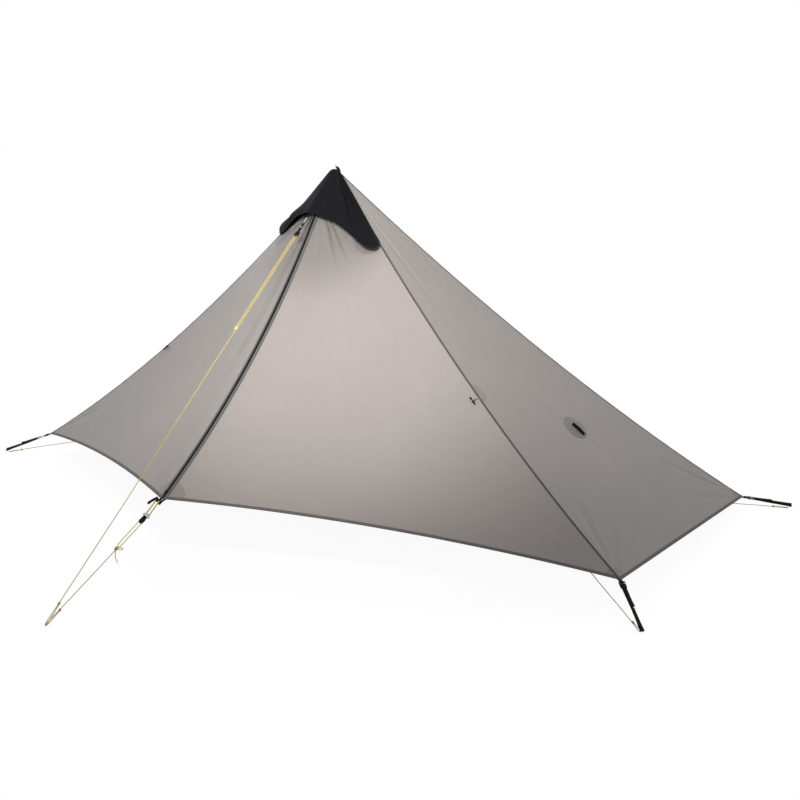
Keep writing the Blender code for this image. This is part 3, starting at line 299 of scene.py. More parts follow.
def braided_cord(name, colour, dark):
    """Braid: two crossing spirals of yarn, with flecks of the darker yarn."""
    n = material_nodes(name)
    braid = n.math("MULTIPLY", *(n.wave(n.coordinates("UV", turn=turn), 210.0, "X", 0.2) for turn in (38, -38)))
    fleck = n.math("GREATER_THAN", n.noise(n.coordinates("UV"), 160.0, 2.0), 0.62)
    base = n.towards(n.shades(braid, colour, (0.05, 0.88), (0.55, 1.0)), dark, fleck, 0.45)
    relief = n.bump(braid, 0.6, CORD_RADIUS * 0.35)
    return n.finish(base, 0.58, relief, Sheen_Weight=0.3, Specular_IOR_Level=0.25)


def moulded(name, colour, roughness, specular):
    n = material_nodes(name)
    place = n.coordinates("Object")
    wear = n.noise(place, 60.0, 4.0, 0.6)
    base = n.shades(wear, colour, (0.3, 0.85), (0.8, 1.35))
    rough = n.spread(wear, roughness - 0.07, roughness + 0.10)
    relief = n.bump(n.noise(place, 900.0, 3.0, 0.6), 0.15, 0.0002)
    return n.finish(base, rough, relief, Specular_IOR_Level=specular)


def netting(name, colour):
    """Mosquito net: holes between three crossing sets of threads, cut out with alpha."""
    n = material_nodes(name)
    sloping = n.math("MAXIMUM", *(n.wave(n.coordinates("UV", turn=turn), 260.0, "X", 0.1) for turn in (30, -30)))
    thread = n.math("MAXIMUM", sloping, n.wave(n.coordinates("UV"), 260.0, "Y", 0.1))
    cover = n.spread(n.math("POWER", thread, 4.0), 0.35, 0.95)
    base = n.shades(n.noise(n.coordinates("Object"), 20.0), colour, (0.3, 0.8), (0.7, 1.2))
    return n.finish(base, 0.8, n.bump(thread, 0.3, 0.0003), Alpha=cover)


def brushed_alloy(name, colour):
    n = material_nodes(name)
    lines = n.noise(n.coordinates("Object", (1, 1, 0.06)), 700.0, 3.0, 0.6)
    marks = n.noise(n.coordinates("Object"), 45.0, 4.0, 0.65)
    base = n.shades(marks, colour, (0.35, 0.9), (0.75, 1.1))
    return n.finish(base, n.spread(lines, 0.22, 0.38), n.bump(lines, 0.08, 0.0002), Metallic=1.0)


def foam(name, colour):
    n = material_nodes(name)
    place = n.coordinates("Object")
    cells = n.add("TexVoronoi", {"Vector": place, "Scale": 620.0}).outputs["Distance"]
    base = n.shades(n.noise(place, 60.0, 4.0), colour, (0.3, 0.8), (0.7, 1.25))
    ribs = n.math("GREATER_THAN", n.wave(place, 26.0, "Z"), 0.9)
    return n.finish(base, 0.88, n.bump(ribs, 0.6, 0.0012, n.bump(cells, 0.4, 0.0005)))


RIPSTOP = 57.0
FLY = (0.397, 0.356, 0.332)
BLACK = (0.0085, 0.0085, 0.0100)
DARKEST = (0.0, 0.0, 0.0)
CLOTH = coated_cloth("fly_cloth", FLY, patch=0.82)
CLOTH_PATCH = coated_cloth("fly_cloth_double", scaled(FLY, 0.74))
HEM = woven_tape("hem_binding_cloth", (0.185, 0.171, 0.164), 210.0, 0.66, stitches=(0.0032, 0.0088))
SEAM = woven_tape("ridge_seam_cloth", (0.140, 0.119, 0.112), 210.0, 0.62, stitches=(0.0018, 0.0062))
HOOD = coated_cloth("hood_cloth", (0.0088, 0.0085, 0.0104), 0.6, 0.18, 0.0, 0.08, 0.8)
WEBBING = woven_tape("black_webbing_weave", BLACK, 330.0, 0.80, 0.12)
BRIM = woven_tape("hood_binding", BLACK, 262.0, 0.75, 0.12)
REFLECTIVE = woven_tape("reflective_strip", (0.66, 0.66, 0.67), 480.0, 0.35)
COIL = woven_tape("zip_coil", BLACK, 262.0, 0.50, 0.15)
TAPE_GREY = woven_tape("zip_tape_grey", (0.170, 0.162, 0.156), 262.0, 0.62, stitches=(0.0115,))
LOOP_TAPE = woven_tape("narrow_grey_tape", (0.40, 0.42, 0.44), 400.0)
CORD = braided_cord("guy_cord", (0.92, 0.71, 0.17), (0.80, 0.58, 0.12))
KNOT = braided_cord("guy_knot", (0.98, 0.92, 0.42), (0.85, 0.66, 0.12))
PLASTIC = moulded("black_moulding", (0.0055, 0.0055, 0.0060), 0.46, 0.16)
RING = moulded("pale_moulding", (0.74, 0.76, 0.82), 0.30, 0.5)
NET = netting("inner_netting", (0.055, 0.055, 0.06))
FLOOR_CLOTH = coated_cloth("floor_cloth", (0.050, 0.052, 0.058), 0.42, 0.10, 0.05, 0.3)
ALLOY = brushed_alloy("pole_tube_alloy", (0.32, 0.33, 0.35))
GRIP = foam("grip_foam_cells", (0.022, 0.022, 0.023))

# Camera, light and floor


def add_object(name, data):
    obj = bpy.data.objects.new(name, data)
    bpy.context.scene.collection.objects.link(obj)
    return obj


def make_camera():
    az, el = CAMERA_AZIMUTH, CAMERA_ELEVATION
    back = Vector((math.sin(az) * math.cos(el), -math.cos(az) * math.cos(el), math.sin(el)))
    right = Vector(UP).cross(back).normalized()
    data = bpy.data.cameras.new("photo_camera")
    data.lens, data.sensor_width, data.sensor_fit = CAMERA_LENS, SENSOR_WIDTH, "HORIZONTAL"
    data.shift_x, data.shift_y = CAMERA_SHIFT
    data.clip_end = 60
    obj = add_object("photo_camera", data)
    turn = Matrix((right, back.cross(right), back)).transposed().to_4x4()
    obj.matrix_world = Matrix.Translation(Vector(CAMERA_TARGET) + back * CAMERA_DISTANCE) @ turn
    bpy.context.scene.camera = obj


def add_lamp(kind, name, place, aim, power, **settings):
    data = bpy.data.lights.new(name, kind)
    for key, value in dict(settings, energy=power).items():
        setattr(data, key, value)
    obj = add_object(name, data)
    obj.visible_camera = obj.visible_glossy = False
    obj.location = place
    obj.rotation_euler = (Vector(aim) - Vector(place)).to_track_quat("-Z", "Y").to_euler()


def make_studio():
    """Soft light on the object, and a white world and pale floor wherever they are looked at."""
    scene = bpy.context.scene
    scene.view_settings.view_transform = "Standard"
    scene.world = bpy.data.worlds.new("studio")
    n = Nodes(scene.world)
    n.tree.nodes.clear()
    soft = n.add("Background", {"Color": SKY, "Strength": SKY_STRENGTH})
    white = n.add("Background", {"Color": (1, 1, 1), "Strength": 1.0})
    n.add("OutputWorld", {"Surface": n.by_ray(soft, white)})
    add_lamp("SPOT", "key", KEY_PLACE, KEY_AIM, KEY_POWER, spot_size=2 * KEY_HALF_ANGLE, spot_blend=1.0,
             shadow_soft_size=KEY_RADIUS)
    add_lamp("AREA", "top", TOP_PLACE, TOP_AIM, TOP_POWER, shape="DISK", size=TOP_SIZE)

    mesh = bpy.data.meshes.new("studio_floor")
    ends = (-FLOOR_HALF, FLOOR_HALF)
    mesh.from_pydata([(x, y, FLOOR_HEIGHT) for y in ends for x in ends], [], [(0, 1, 3, 2)])
    n = material_nodes("studio_floor")
    n.tree.nodes.clear()
    plain = n.add("BsdfDiffuse", {"Color": FLOOR_GREY})
    shaded = n.add("BsdfDiffuse", {"Color": FLOOR_SHADED})
    glow = n.add("Emission", {"Strength": FLOOR_GLOW})
    pale = n.add("AddShader", {0: shaded.outputs[0], 1: glow.outputs[0]})
    n.add("OutputMaterial", {"Surface": n.by_ray(plain, pale)})
    mesh.materials.append(n.owner)
    add_object("studio_floor", mesh)


make_camera()
make_studio()

# Mesh helpers


def add_mesh(name, points, faces, material, uvs, angle=50.0):
    """A mesh shaded smooth below an angle; uvs are in metres, one for each point."""
    mesh = bpy.data.meshes.new(name)
    mesh.from_pydata(np.asarray(points, float).tolist(), [], faces)
    mesh.update()
    layer = mesh.uv_layers.new(name="UVMap")
    loops = np.zeros(len(mesh.loops), np.int32)
    mesh.loops.foreach_get("vertex_index", loops)
    layer.data.foreach_set("uv", np.asarray(uvs, np.float32)[loops].ravel())
    mesh.materials.append(material)
    mesh.shade_smooth()
    mesh.set_sharp_from_angle(angle=math.radians(angle))
    return add_object(name, mesh)


def fix_normals(obj):
    bm = bmesh.new()
    bm.from_mesh(obj.data)
    bmesh.ops.recalc_face_normals(bm, faces=bm.faces)
    bm.to_mesh(obj.data)
    bm.free()
    return obj


def grid_lengths(points):
    """Distances along the rows and down the columns of a grid, in metres."""
    across = np.linalg.norm(np.diff(points, axis=1), axis=2)
    down = np.linalg.norm(np.diff(points, axis=0), axis=2)
    along = np.concatenate([np.zeros((points.shape[0], 1)), np.cumsum(across, axis=1)], axis=1)
    drop = np.concatenate([np.zeros((1, points.shape[1])), np.cumsum(down, axis=0)], axis=0)
    return np.stack([along, drop], axis=2)


def shell(name, points, thickness, material, outward, uvs=None):
    """A closed thin cloth about a grid of points."""
    normal = np.cross(np.gradient(points, axis=1), np.gradient(points, axis=0))
    normal = normal / np.maximum(np.linalg.norm(normal, axis=2, keepdims=True), 1e-12)
    if (normal.reshape(-1, 3) @ outward).mean() < 0:
        normal = -normal
    count = points.shape[0] * points.shape[1]
    index = np.arange(count).reshape(points.shape[:2])
    quads = np.stack([index[:-1, :-1], index[:-1, 1:], index[1:, 1:], index[1:, :-1]], axis=2).reshape(-1, 4)
    border = np.concatenate([index[0, :], index[1:, -1], index[-1, -2::-1], index[-2:0:-1, 0]])
    after = np.roll(border, -1)
    rim = np.stack([after, border, border + count, after + count], axis=1)
    faces = np.concatenate([quads, quads[:, ::-1] + count, rim])
    if np.cross(points[0, 1] - points[0, 0], points[1, 0] - points[0, 0]) @ normal[0, 0] < 0:
        faces = faces[:, ::-1]
    both = np.concatenate([(points + normal * side * thickness / 2).reshape(-1, 3) for side in (1, -1)])
    flat = (grid_lengths(points) if uvs is None else uvs).reshape(-1, 2)
    return add_mesh(name, both, faces.tolist(), material, np.concatenate([flat, flat]))


def tangents(path):
    path = np.asarray(path, float)
    steps = np.vstack([path[1:], path[-1:]]) - np.vstack([path[:1], path[:-1]])
    return unit_rows(steps)


def unit_rows(vectors):
    return vectors / np.linalg.norm(vectors, axis=1)[:, None]


def square_to(axes, path):
    """Unit axes made square to a path."""
    along = tangents(path)
    return unit_rows(axes - along * (axes * along).sum(axis=1)[:, None])


def run_length(path):
    return np.concatenate([[0], np.cumsum(np.linalg.norm(np.diff(np.asarray(path, float), axis=0), axis=1))])


def placed(origin, axes, rows):
    """Points at each row's distances along the axes from an origin."""
    points = []
    for row in rows:
        point = origin
        for axis, distance in zip(axes, row):
            point = point + axis * distance
        points.append(point)
    return points


def arc(radius, start, end, count, middle=(0, 0), height=None):
    """Rows of two distances on an arc about a middle, its radius across and its height."""
    height = radius if height is None else height
    angles = np.linspace(start, end, count)
    return [(middle[0] + radius * math.cos(a), middle[1] + height * math.sin(a)) for a in angles]


def between(a, b, shares):
    return [a * (1 - t) + b * t for t in shares]


def cubic(p0, p1, p2, p3, steps):
    """Points of a smooth curve from p1 until just before p2."""
    return [(2 * p1 + (p2 - p0) * t + (2 * p0 - 5 * p1 + 4 * p2 - p3) * t**2 + (3 * p1 - p0 - 3 * p2 + p3) * t**3) / 2
            for t in np.linspace(0, 1, steps, endpoint=False)]


def resampled(points, count, endpoint=True):
    run = run_length(points)
    places = np.linspace(0, run[-1], count, endpoint=endpoint)
    return np.stack([np.interp(places, run, points[:, k]) for k in range(3)], axis=1), places


def smooth_route(points, count):
    """Points evenly spaced along a smooth curve through the route's own points."""
    points = np.asarray(points, float)
    padded = np.vstack([2 * points[0] - points[1], points, 2 * points[-1] - points[-2]])
    dense = [p for i in range(1, len(padded) - 2) for p in cubic(*padded[i - 1:i + 3], 24)]
    return resampled(np.array(dense + [points[-1]]), count)[0]


def closed_route(points, steps):
    """Points along a smooth closed curve through the given ones."""
    count = len(points)
    return [p for i in range(count) for p in cubic(*(points[(i + k) % count] for k in (-1, 0, 1, 2)), steps)]


def lofted(name, stations, material, uvs, closed=False, angle=60.0):
    """A closed solid through equal outlines; uvs are (along, around) per outline point."""
    stations = np.asarray(stations, float)
    count, sides = stations.shape[:2]
    faces = []
    for i in range(count if closed else count - 1):
        a, b = i * sides, ((i + 1) % count) * sides
        faces += [(a + j, b + j, b + (j + 1) % sides, a + (j + 1) % sides) for j in range(sides)]
    if not closed:
        faces += [tuple(range(sides)), tuple(range(count * sides - 1, (count - 1) * sides - 1, -1))]
    return fix_normals(add_mesh(name, stations.reshape(-1, 3), faces, material,
                                np.asarray(uvs, float).reshape(-1, 2), angle))


def swept(name, frames, shape_at, material, mirror=1.0, edge=0.0):
    """A solid through outlines in metres across and out; frames are (run, place, across, out)."""
    stations, uvs = [], []
    for run, place, across, out in frames:
        shape = shape_at(run)
        stations.append([point * mirror for point in placed(place, (across, out), shape)])
        uvs.append([(run, s + edge) for s, _ in shape])
    return lofted(name, stations, material, uvs)


def tube(name, path, radius, material, sides=8, closed=False):
    """A round cord or wire along a path, its outline carried along without twist."""
    path = np.asarray(path, float)
    along = tangents(path)
    first = UP if abs(along[0][2]) < 0.9 else RIGHT
    side = unit(first - along[0] * (first @ along[0]))
    angles = np.linspace(0, 2 * np.pi, sides, endpoint=False)
    outline = [(radius * math.cos(a), radius * math.sin(a)) for a in angles]
    stations = []
    for place, t in zip(path, along):
        side = unit(side - t * (side @ t))
        stations.append(placed(place, (side, np.cross(t, side)), outline))
    uvs = [[(r, a * radius) for a in angles] for r in run_length(path)]
    return lofted(name, stations, material, uvs, closed, 80.0)


def band(name, path, axes, width, thickness, material, rounded=True):
    """Webbing with rounded edges along a path, lying across the given axes."""
    axes = np.broadcast_to(axes, (len(path), 3))
    out = unit_rows(np.cross(axes, tangents(path)))
    half, high = width / 2, thickness / 2
    soft = min(high, width * 0.1) * rounded
    quarter = [(half, 0.0), (half - soft * 0.4, high * 0.75), (half - soft, high), (0.0, high)]
    shape = quarter + [(-s, h) for s, h in quarter[2::-1]] + [(-s, -h) for s, h in quarter[1:]]
    shape += [(s, -h) for s, h in quarter[2:0:-1]]
    return swept(name, zip(run_length(path), path, axes, out), lambda run: shape, material, edge=half)


def lathe(name, profile, origin, axis, material, steps=40):
    """A turned solid from (radius, height) pairs, its first and last points on the axis."""
    side = unit(np.cross(axis, RIGHT if abs(axis[0]) < 0.9 else BACKWARD))
    other = np.cross(axis, side)
    angles = [2 * math.pi * k / steps for k in range(steps)]
    points, uvs = [origin + axis * profile[0][1]], [(0.0, profile[0][1])]
    for radius, height in profile[1:-1]:
        points += [origin + axis * height + radius * (math.cos(a) * side + math.sin(a) * other) for a in angles]
        uvs += [(a * 0.01, height) for a in angles]
    points.append(origin + axis * profile[-1][1])
    uvs.append((0.0, profile[-1][1]))
    last, top = len(points) - 1, 1 + (len(profile) - 3) * steps
    faces = []
    for k in range(steps):
        m = (k + 1) % steps
        faces += [(0, 1 + k, 1 + m), (last, top + m, top + k)]
        faces += [(a + k, a + steps + k, a + steps + m, a + m) for a in range(1, top, steps)]
    return fix_normals(add_mesh(name, points, faces, material, uvs, 40.0))


def wave_sum(values, seed, frequencies, sharp=1.0):
    """A repeatable mix of sines along one coordinate, between -1 and 1."""
    rng = np.random.default_rng(seed)
    total = np.zeros_like(values)
    weight = 0.0
    for frequency in frequencies:
        size = rng.uniform(0.6, 1.0)
        total += size * np.sin(values * frequency + rng.uniform(0, 2 * np.pi))
        weight += size
    total /= weight
    return np.sign(total) * np.abs(total) ** sharp


def soft_noise(points, scale, seed):
    """Smooth repeatable variation over space, from a few crossing sines."""
    rng = np.random.default_rng(seed)
    total = np.zeros(points.shape[:-1])
    for _ in range(6):
        direction = unit(rng.normal(size=3))
        total += np.sin(points @ direction * scale * rng.uniform(0.7, 1.5) + rng.uniform(0, 2 * np.pi))
    return total / 6


def eased(values):
    """Values kept between 0 and 1, and made smooth at both ends."""
    share = np.clip(values, 0, 1)
    return share * share * (3 - 2 * share)


def bump_window(values, low, high, soft_low, soft_high):
    """1 between low and high, and falling smoothly to 0 outside."""
    return eased((values - (low - soft_low)) / soft_low) * eased(((high + soft_high) - values) / soft_high)


def step_down(values, start, end):
    """1 up to start, falling smoothly to 0 at end."""
    return eased((end - values) / (end - start))


def fan(points, normal, centre, zero, seed, frequencies, reach, size, spread=None, sharp=1.2):
    """Pull wrinkles that run out from a point: waves in the angle about it, over its reach of near, full and far."""
    zero = unit(zero - normal * (zero @ normal))
    away = points - centre
    distance = np.linalg.norm(away, axis=-1)
    angle = np.arctan2(away @ np.cross(normal, zero), away @ zero)
    near, full, far = reach
    window = bump_window(distance, near, full, near * 0.6, far - full)
    if spread is not None:
        window = window * bump_window(angle, *spread, 0.12, 0.12)
    return size * wave_sum(angle, seed, frequencies, sharp) * window


def fans(points, normal, rows):
    return sum(fan(points, normal, *row) for row in rows)


# Joining pieces to bodies


def on_door(obj, side, slot, *nodes):
    """A piece of door cloth: the CAD parts that it replaces are hidden, and its place is baked into its points."""
    if nodes:
        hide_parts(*nodes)
    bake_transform(obj)


def ride(obj, body, slot, *nodes):
    if nodes:
        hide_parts(*nodes)
    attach(obj, body)


def point_values(obj, name, values):
    """Store a number at each point of a shell or solid, for its material."""
    layer = obj.data.attributes.new(name, "FLOAT", "POINT")
    layer.data.foreach_set("value", np.ravel(values).astype(np.float32))


# Cords, with their knots

GROUND_GAP = 0.0002
EYE_REACH = 0.050
INNER_EYE_HALF, FRONT_EYE_HALF = 0.0032, 0.0034
SMALL_KNOT, INNER_KNOT, LARGE_KNOT = 0.0032, 0.0030, 0.0046
KNOT_SHIFT = 0.004


def eye_route(peg, towards, half_width, lift=0.0):
    """The eye that a line ends in round its peg, from the knot back to the knot."""
    flat = unit((towards - peg) * ON_GROUND)
    side = vec(-flat[1], flat[0], 0)
    slope = (towards - peg)[2] / np.linalg.norm((towards - peg)[:2])
    start = peg + UP * (CORD_RADIUS + GROUND_GAP + lift)
    half = [(EYE_REACH, CORD_RADIUS * 1.35), (EYE_REACH * 0.6, half_width * 0.9), (EYE_REACH * 0.25, half_width),
            (0.002, half_width * 0.72)]
    rows = [(a, -b) for a, b in half] + [(-0.0035, 0.0)] + half[::-1]
    return list(smooth_route(placed(start, (flat, side, UP), [(a, b, max(0.0, a) * slope) for a, b in rows]), 24))


def wound_knot(name, place, along, size=SMALL_KNOT, turns=2.5, pitch=0.0026, radius=CORD_RADIUS * 0.95, material=CORD):
    """A knot: a few turns of the cord pulled tight about itself."""
    along = unit(along)
    side = unit(np.cross(along, RIGHT if abs(along[0]) < 0.9 else UP))
    reach = 0.5 * pitch * turns + 0.0030
    rows = [(-reach, size * 0.2, 0.0)]
    for share in np.linspace(0, 1, int(turns * 12) + 1):
        angle = 2 * math.pi * turns * share
        swell = size * (0.80 + 0.20 * math.sin(math.pi * share))
        rows.append(((share - 0.5) * pitch * turns, swell * math.cos(angle), swell * math.sin(angle)))
    rows.append((reach, -size * 0.2, 0.0))
    return tube(name, placed(place, (along, side, np.cross(along, side)), rows), radius, material)


def make_cord(name, route, node, body, pieces):
    for piece in pieces:
        ride(piece, body, "yellow_cord")
    obj = tube(name, route, CORD_RADIUS, CORD)
    ride(obj, body, "yellow_cord", node)


INNER_LINE_ENDS = {
    "front_left": vec(-1.0305, 0.0425, 0.0980),
    "front_right": vec(0.9233, 0.0375, 0.0464),
    "rear_right": vec(1.0465, 0.6181, 0.0282),
    "rear_left": vec(-1.0465, 0.6181, 0.0282),
}


def make_inner_lines():
    for prefix, end in INNER_LINE_ENDS.items():
        peg = PEGS[prefix]
        eye = eye_route(peg + unit((end - peg) * ON_GROUND) * KNOT_SHIFT, end, INNER_EYE_HALF)
        run = between(eye[-1], end, (0.15, 0.35, 0.6, 0.8, 1.0))
        run[1] = run[1] - UP * 0.002
        run[2] = run[2] - UP * 0.003
        knot_at = (eye[-1] + eye[0]) / 2 + unit(end - peg) * KNOT_SHIFT
        knot = wound_knot(prefix + "_inner_line_knot", knot_at, end - peg, INNER_KNOT)
        make_cord(prefix + "_inner_line_cord", eye + run, prefix + "_inner_line", "fly", [knot])


GUY = unit(VESTIBULE_PEG - PEAK)
GUY_OUT = vec(0, GUY[2], -GUY[1])
GUY_STRAP_START, GUY_STRAP_END, GUY_KNOT_PLACE = 0.0188, 0.302, 0.748
GUY_LOCK = PEAK + GUY * (GUY_STRAP_END + 0.0004)
GUY_KNOT = PEAK + GUY * GUY_KNOT_PLACE
LINE = unit(VESTIBULE_PEG - VESTIBULE_TIP)
LINE_OUT = vec(0, LINE[2], -LINE[1])
LINE_TURN = math.radians(42.5)
LINE_WIDE = RIGHT * math.cos(LINE_TURN) - LINE_OUT * math.sin(LINE_TURN)
LINE_FACE = facing(np.cross(LINE, LINE_WIDE), UP)
RING_PLACE, LOCK_PLACE, LINE_KNOT_PLACE = 0.078, 0.085, 0.2197
LINE_LOCK = VESTIBULE_TIP + LINE * LOCK_PLACE
LINE_KNOT = VESTIBULE_TIP + LINE * LINE_KNOT_PLACE
BOSS_PLACE, LINE_TURN_RADIUS = 0.0150, 0.0056
LOOP_RADIUS, RING_RADIUS = 0.0023, 0.0030
RING_WIDE, RING_HIGH = 0.0092, 0.0056
TAB_EYE, TAB_OFFSET = 0.0112, 0.0082
BOW = ((0.0040, 0.0, 0.001), (0.0085, 0.006, 0.0035), (0.0120, 0.0135, -0.001), (0.0095, 0.0150, -0.0065),
       (0.0050, 0.0075, -0.0055), (0.0035, 0.0015, -0.0020))
TAIL = ((-0.0050, 0.004, -0.050), (-0.0062, -0.002, -0.030), (-0.0052, -0.001, -0.012))


def line_over_lock(lock, along, wide, knot, half, lift):
    """A line's runs on both sides of its knot, its turn round the lock's boss, and the eye at its peg."""
    turn = placed(lock, (wide, along), arc(half, math.pi, 2 * math.pi, 11, (0, BOSS_PLACE)))
    left = placed(knot, (wide, along), ((-0.0036, -0.004), (-0.2 * 0.0036 - 0.8 * half, -0.016)))
    right = placed(knot, (wide, along), ((0.8 * half, -0.016), (0.0010, 0.004)))
    return left, turn, right, eye_route(VESTIBULE_PEG, knot, FRONT_EYE_HALF, lift)[::-1]


def make_front_line():
    left, turn, right, eye = line_over_lock(GUY_LOCK, GUY, RIGHT, GUY_KNOT, STRAND_OFFSET, 0.0028)
    route = left + turn + right + placed(GUY_KNOT, (GUY,), ((0.3,), (0.7,))) + eye
    pieces = [wound_knot("front_line_knot", GUY_KNOT - GUY * 0.003, GUY, LARGE_KNOT, 4.5, 0.0029, 0.0015, KNOT),
              wound_knot("front_line_eye_knot", (eye[0] + eye[-1]) / 2 - GUY * KNOT_SHIFT, GUY)]
    make_cord("front_guy_cord", route, "front_guy_line", "fly", pieces)


def make_vestibule_cord():
    left, turn, right, eye = line_over_lock(LINE_LOCK, LINE, LINE_WIDE, LINE_KNOT, LINE_TURN_RADIUS, 0.0)
    route = [LINE_KNOT + vec(*p) for p in TAIL] + left[1:] + turn + right + [LINE_KNOT + LINE * 0.12] + eye
    bow = smooth_route([LINE_KNOT + vec(*p) for p in BOW], 22)
    pieces = [wound_knot("vestibule_line_knot", LINE_KNOT, LINE, LARGE_KNOT, 3.2, 0.0029),
              wound_knot("vestibule_line_eye_knot", (eye[0] + eye[-1]) / 2 - LINE * KNOT_SHIFT, LINE),
              tube("vestibule_line_bow", bow, CORD_RADIUS, CORD)]
    make_cord("vestibule_line_cord", route, "vestibule_line", "vestibule_line", pieces)


def make_line_loop():
    """The yellow loop between the left door's tab and the pale ring, and the ring itself."""
    near = placed(VESTIBULE_TIP + LINE * TAB_EYE - RIGHT * TAB_OFFSET, (RIGHT, LINE),
                  ((0.0072, 0.0020), (0.0056, 0.0), (0.0, 0.0), (-0.0056, 0.0), (-0.0072, 0.0020)))
    far = placed(VESTIBULE_TIP, (LINE, LINE_WIDE, LINE_FACE),
                 ((0.0660, -0.0058, -0.0034), (0.0712, -0.0038, -0.0020), (0.0726, 0.0, 0.0),
                  (0.0712, 0.0038, 0.0020), (0.0660, 0.0058, 0.0034)))
    path = near + between(near[-1], far[0], (0.15, 0.35, 0.6, 0.85)) + far
    path += between(far[-1], near[0], (0.15, 0.4, 0.65, 0.85))
    loop = tube("vestibule_cord_loop", closed_route(path, 4), LOOP_RADIUS, CORD, closed=True)
    ride(loop, "vestibule_line", "yellow_cord", "vestibule_loop")
    centre = VESTIBULE_TIP + LINE * (RING_PLACE - 0.0026)
    circle = placed(centre, (LINE_WIDE, LINE), arc(RING_WIDE, 0, 2 * math.pi, 45, height=RING_HIGH)[:-1])
    ring = tube("vestibule_pale_ring", circle, RING_RADIUS, RING, 14, closed=True)
    ride(ring, "vestibule_line", "ring_plastic", "vestibule_ring")


make_inner_lines()
make_front_line()
make_vestibule_cord()
make_line_loop()

# Fields of wrinkles: how far each panel's cloth stands out of its smooth surface, in metres

GUYOUT_PLACE = (0.532, 0.672)
GUYOUT_RADIUS = 0.050
GUYOUT_TAB_SHIFT = 0.012


def guyout_frame():
    """Middle of the guy-out's patch on the right end panel, and its ways down, across and out."""
    u, v = GUYOUT_PLACE
    down = unit(end_surface(u, v + 0.02) - end_surface(u, v - 0.02))
    across = unit(end_surface(u + 0.02, v) - end_surface(u - 0.02, v))
    out = facing(unit(np.cross(down, across)), UP)
    return end_surface(u, v), down, np.cross(out, down), out


def door_wrinkles(points):
    """Right door: short folds under the hood, and pull lines from its corners and the toggle."""
    top = vec(0.012, -0.110, 1.160)
    down = unit(VESTIBULE_TIP * 0.62 + FRONT_CORNER * 0.38 - top)
    grooves = fan(points, DOOR_NORMAL, top, down, 11, (29, 41), (0.070, 0.115, 0.32), 1.0, (-0.85, 0.95), 1.0)
    pulls = fans(points, DOOR_NORMAL, (
        (top, down, 17, (11, 17, 27), (0.10, 0.20, 0.80), 0.0022, (-0.8, 0.8)),
        (FRONT_CORNER, PEAK - FRONT_CORNER, 5, (19, 31), (0.03, 0.14, 0.50), 0.0028),
        (VESTIBULE_TIP, PEAK - VESTIBULE_TIP, 8, (13, 22), (0.05, 0.15, 0.50), 0.0022),
        (front_ridge(0.55), -RIGHT, 21, (9, 15), (0.02, 0.05, 0.20), 0.0010)))
    return pulls - 0.0125 * np.clip(grooves, 0, 1) ** 1.1 + 0.0011 * soft_noise(points, 6.0, 4)


def end_wrinkles(points):
    """End panels: creases that run down from the peak, and pull lines from both corners and the guy-out."""
    down = (FRONT_CORNER + REAR_CORNER) / 2 - PEAK
    centre = guyout_frame()[0]
    height = fans(points, END_NORMAL, (
        (PEAK, down, 31, (23, 37, 61), (0.06, 0.30, 0.95), 0.0026),
        (PEAK, down, 32, (90, 137), (0.14, 0.34, 0.62), 0.0011),
        (FRONT_CORNER, PEAK - FRONT_CORNER, 33, (17, 29), (0.03, 0.14, 0.50), 0.0030),
        (REAR_CORNER, PEAK - REAR_CORNER, 35, (17, 29, 43), (0.03, 0.14, 0.50), 0.0032),
        (centre, down, 37, (5, 9), (0.06, 0.09, 0.26), 0.0010))) + 0.0013 * soft_noise(points, 6.0, 9)
    return height * (1 - np.exp(-(np.linalg.norm(points - centre, axis=-1) / 0.062) ** 4))


def back_wrinkles(points):
    left = REAR_CORNER * MIRROR_X
    return fans(points, BACK_NORMAL, (
        (PEAK, REAR_CORNER * ON_MIDDLE - PEAK, 51, (21, 33, 57), (0.06, 0.30, 0.80), 0.0018),
        (REAR_CORNER, PEAK - REAR_CORNER, 53, (17, 29), (0.03, 0.16, 0.48), 0.0022),
        (left, PEAK - left, 54, (17, 29), (0.03, 0.16, 0.48), 0.0022))) + 0.0016 * soft_noise(points, 5.0, 14)


CLOTH_THICKNESS = 0.0007
ZIP_CLOTH_EDGE, RIDGE_EDGE, HEM_EDGE = 0.0098, 0.0022, 0.004
ABOVE_ZIP, TOWARDS_PEAK = -0.062, -0.031
DOOR_GRID, END_GRID, BACK_GRID = (122, 140), (116, 110), (96, 170)
# Distances from the zip's top at which the painted shadow of the hood is full, and at which it is gone
HOOD_SHADE_FULL, HOOD_SHADE_GONE = 0.12, 0.36
NET_THICKNESS = 0.0006
HOOD_PATCH = front_ridge(0.165) * 0.9 + (ZIP_TOP * 0.835 + VESTIBULE_TIP * 0.165) * 0.1
DOOR_PATCHES = ((VESTIBULE_TIP, 0.078), (HOOD_PATCH, 0.051), (FRONT_CORNER, 0.050))
END_PATCHES = ((FRONT_CORNER, 0.050), (REAR_CORNER, 0.055), (front_ridge(0.540), 0.040))
BACK_PATCHES = ((REAR_CORNER, 0.055), (REAR_CORNER * MIRROR_X, 0.055))


def spans_at(surface, u, v, step=0.004):
    """Metres of surface for each unit of u and of v, each measured square to the other's lines."""
    across = (surface(u + step, v) - surface(u - step, v)) / (2 * step)
    down = (surface(u, v + step) - surface(u, v - step)) / (2 * step)
    area = np.linalg.norm(np.cross(across, down))
    return area / np.linalg.norm(down), area / np.linalg.norm(across)


def wide_at(surface, u, v):
    return spans_at(surface, u, v)[0]


def high_at(surface, u, v):
    return spans_at(surface, u, v)[1]


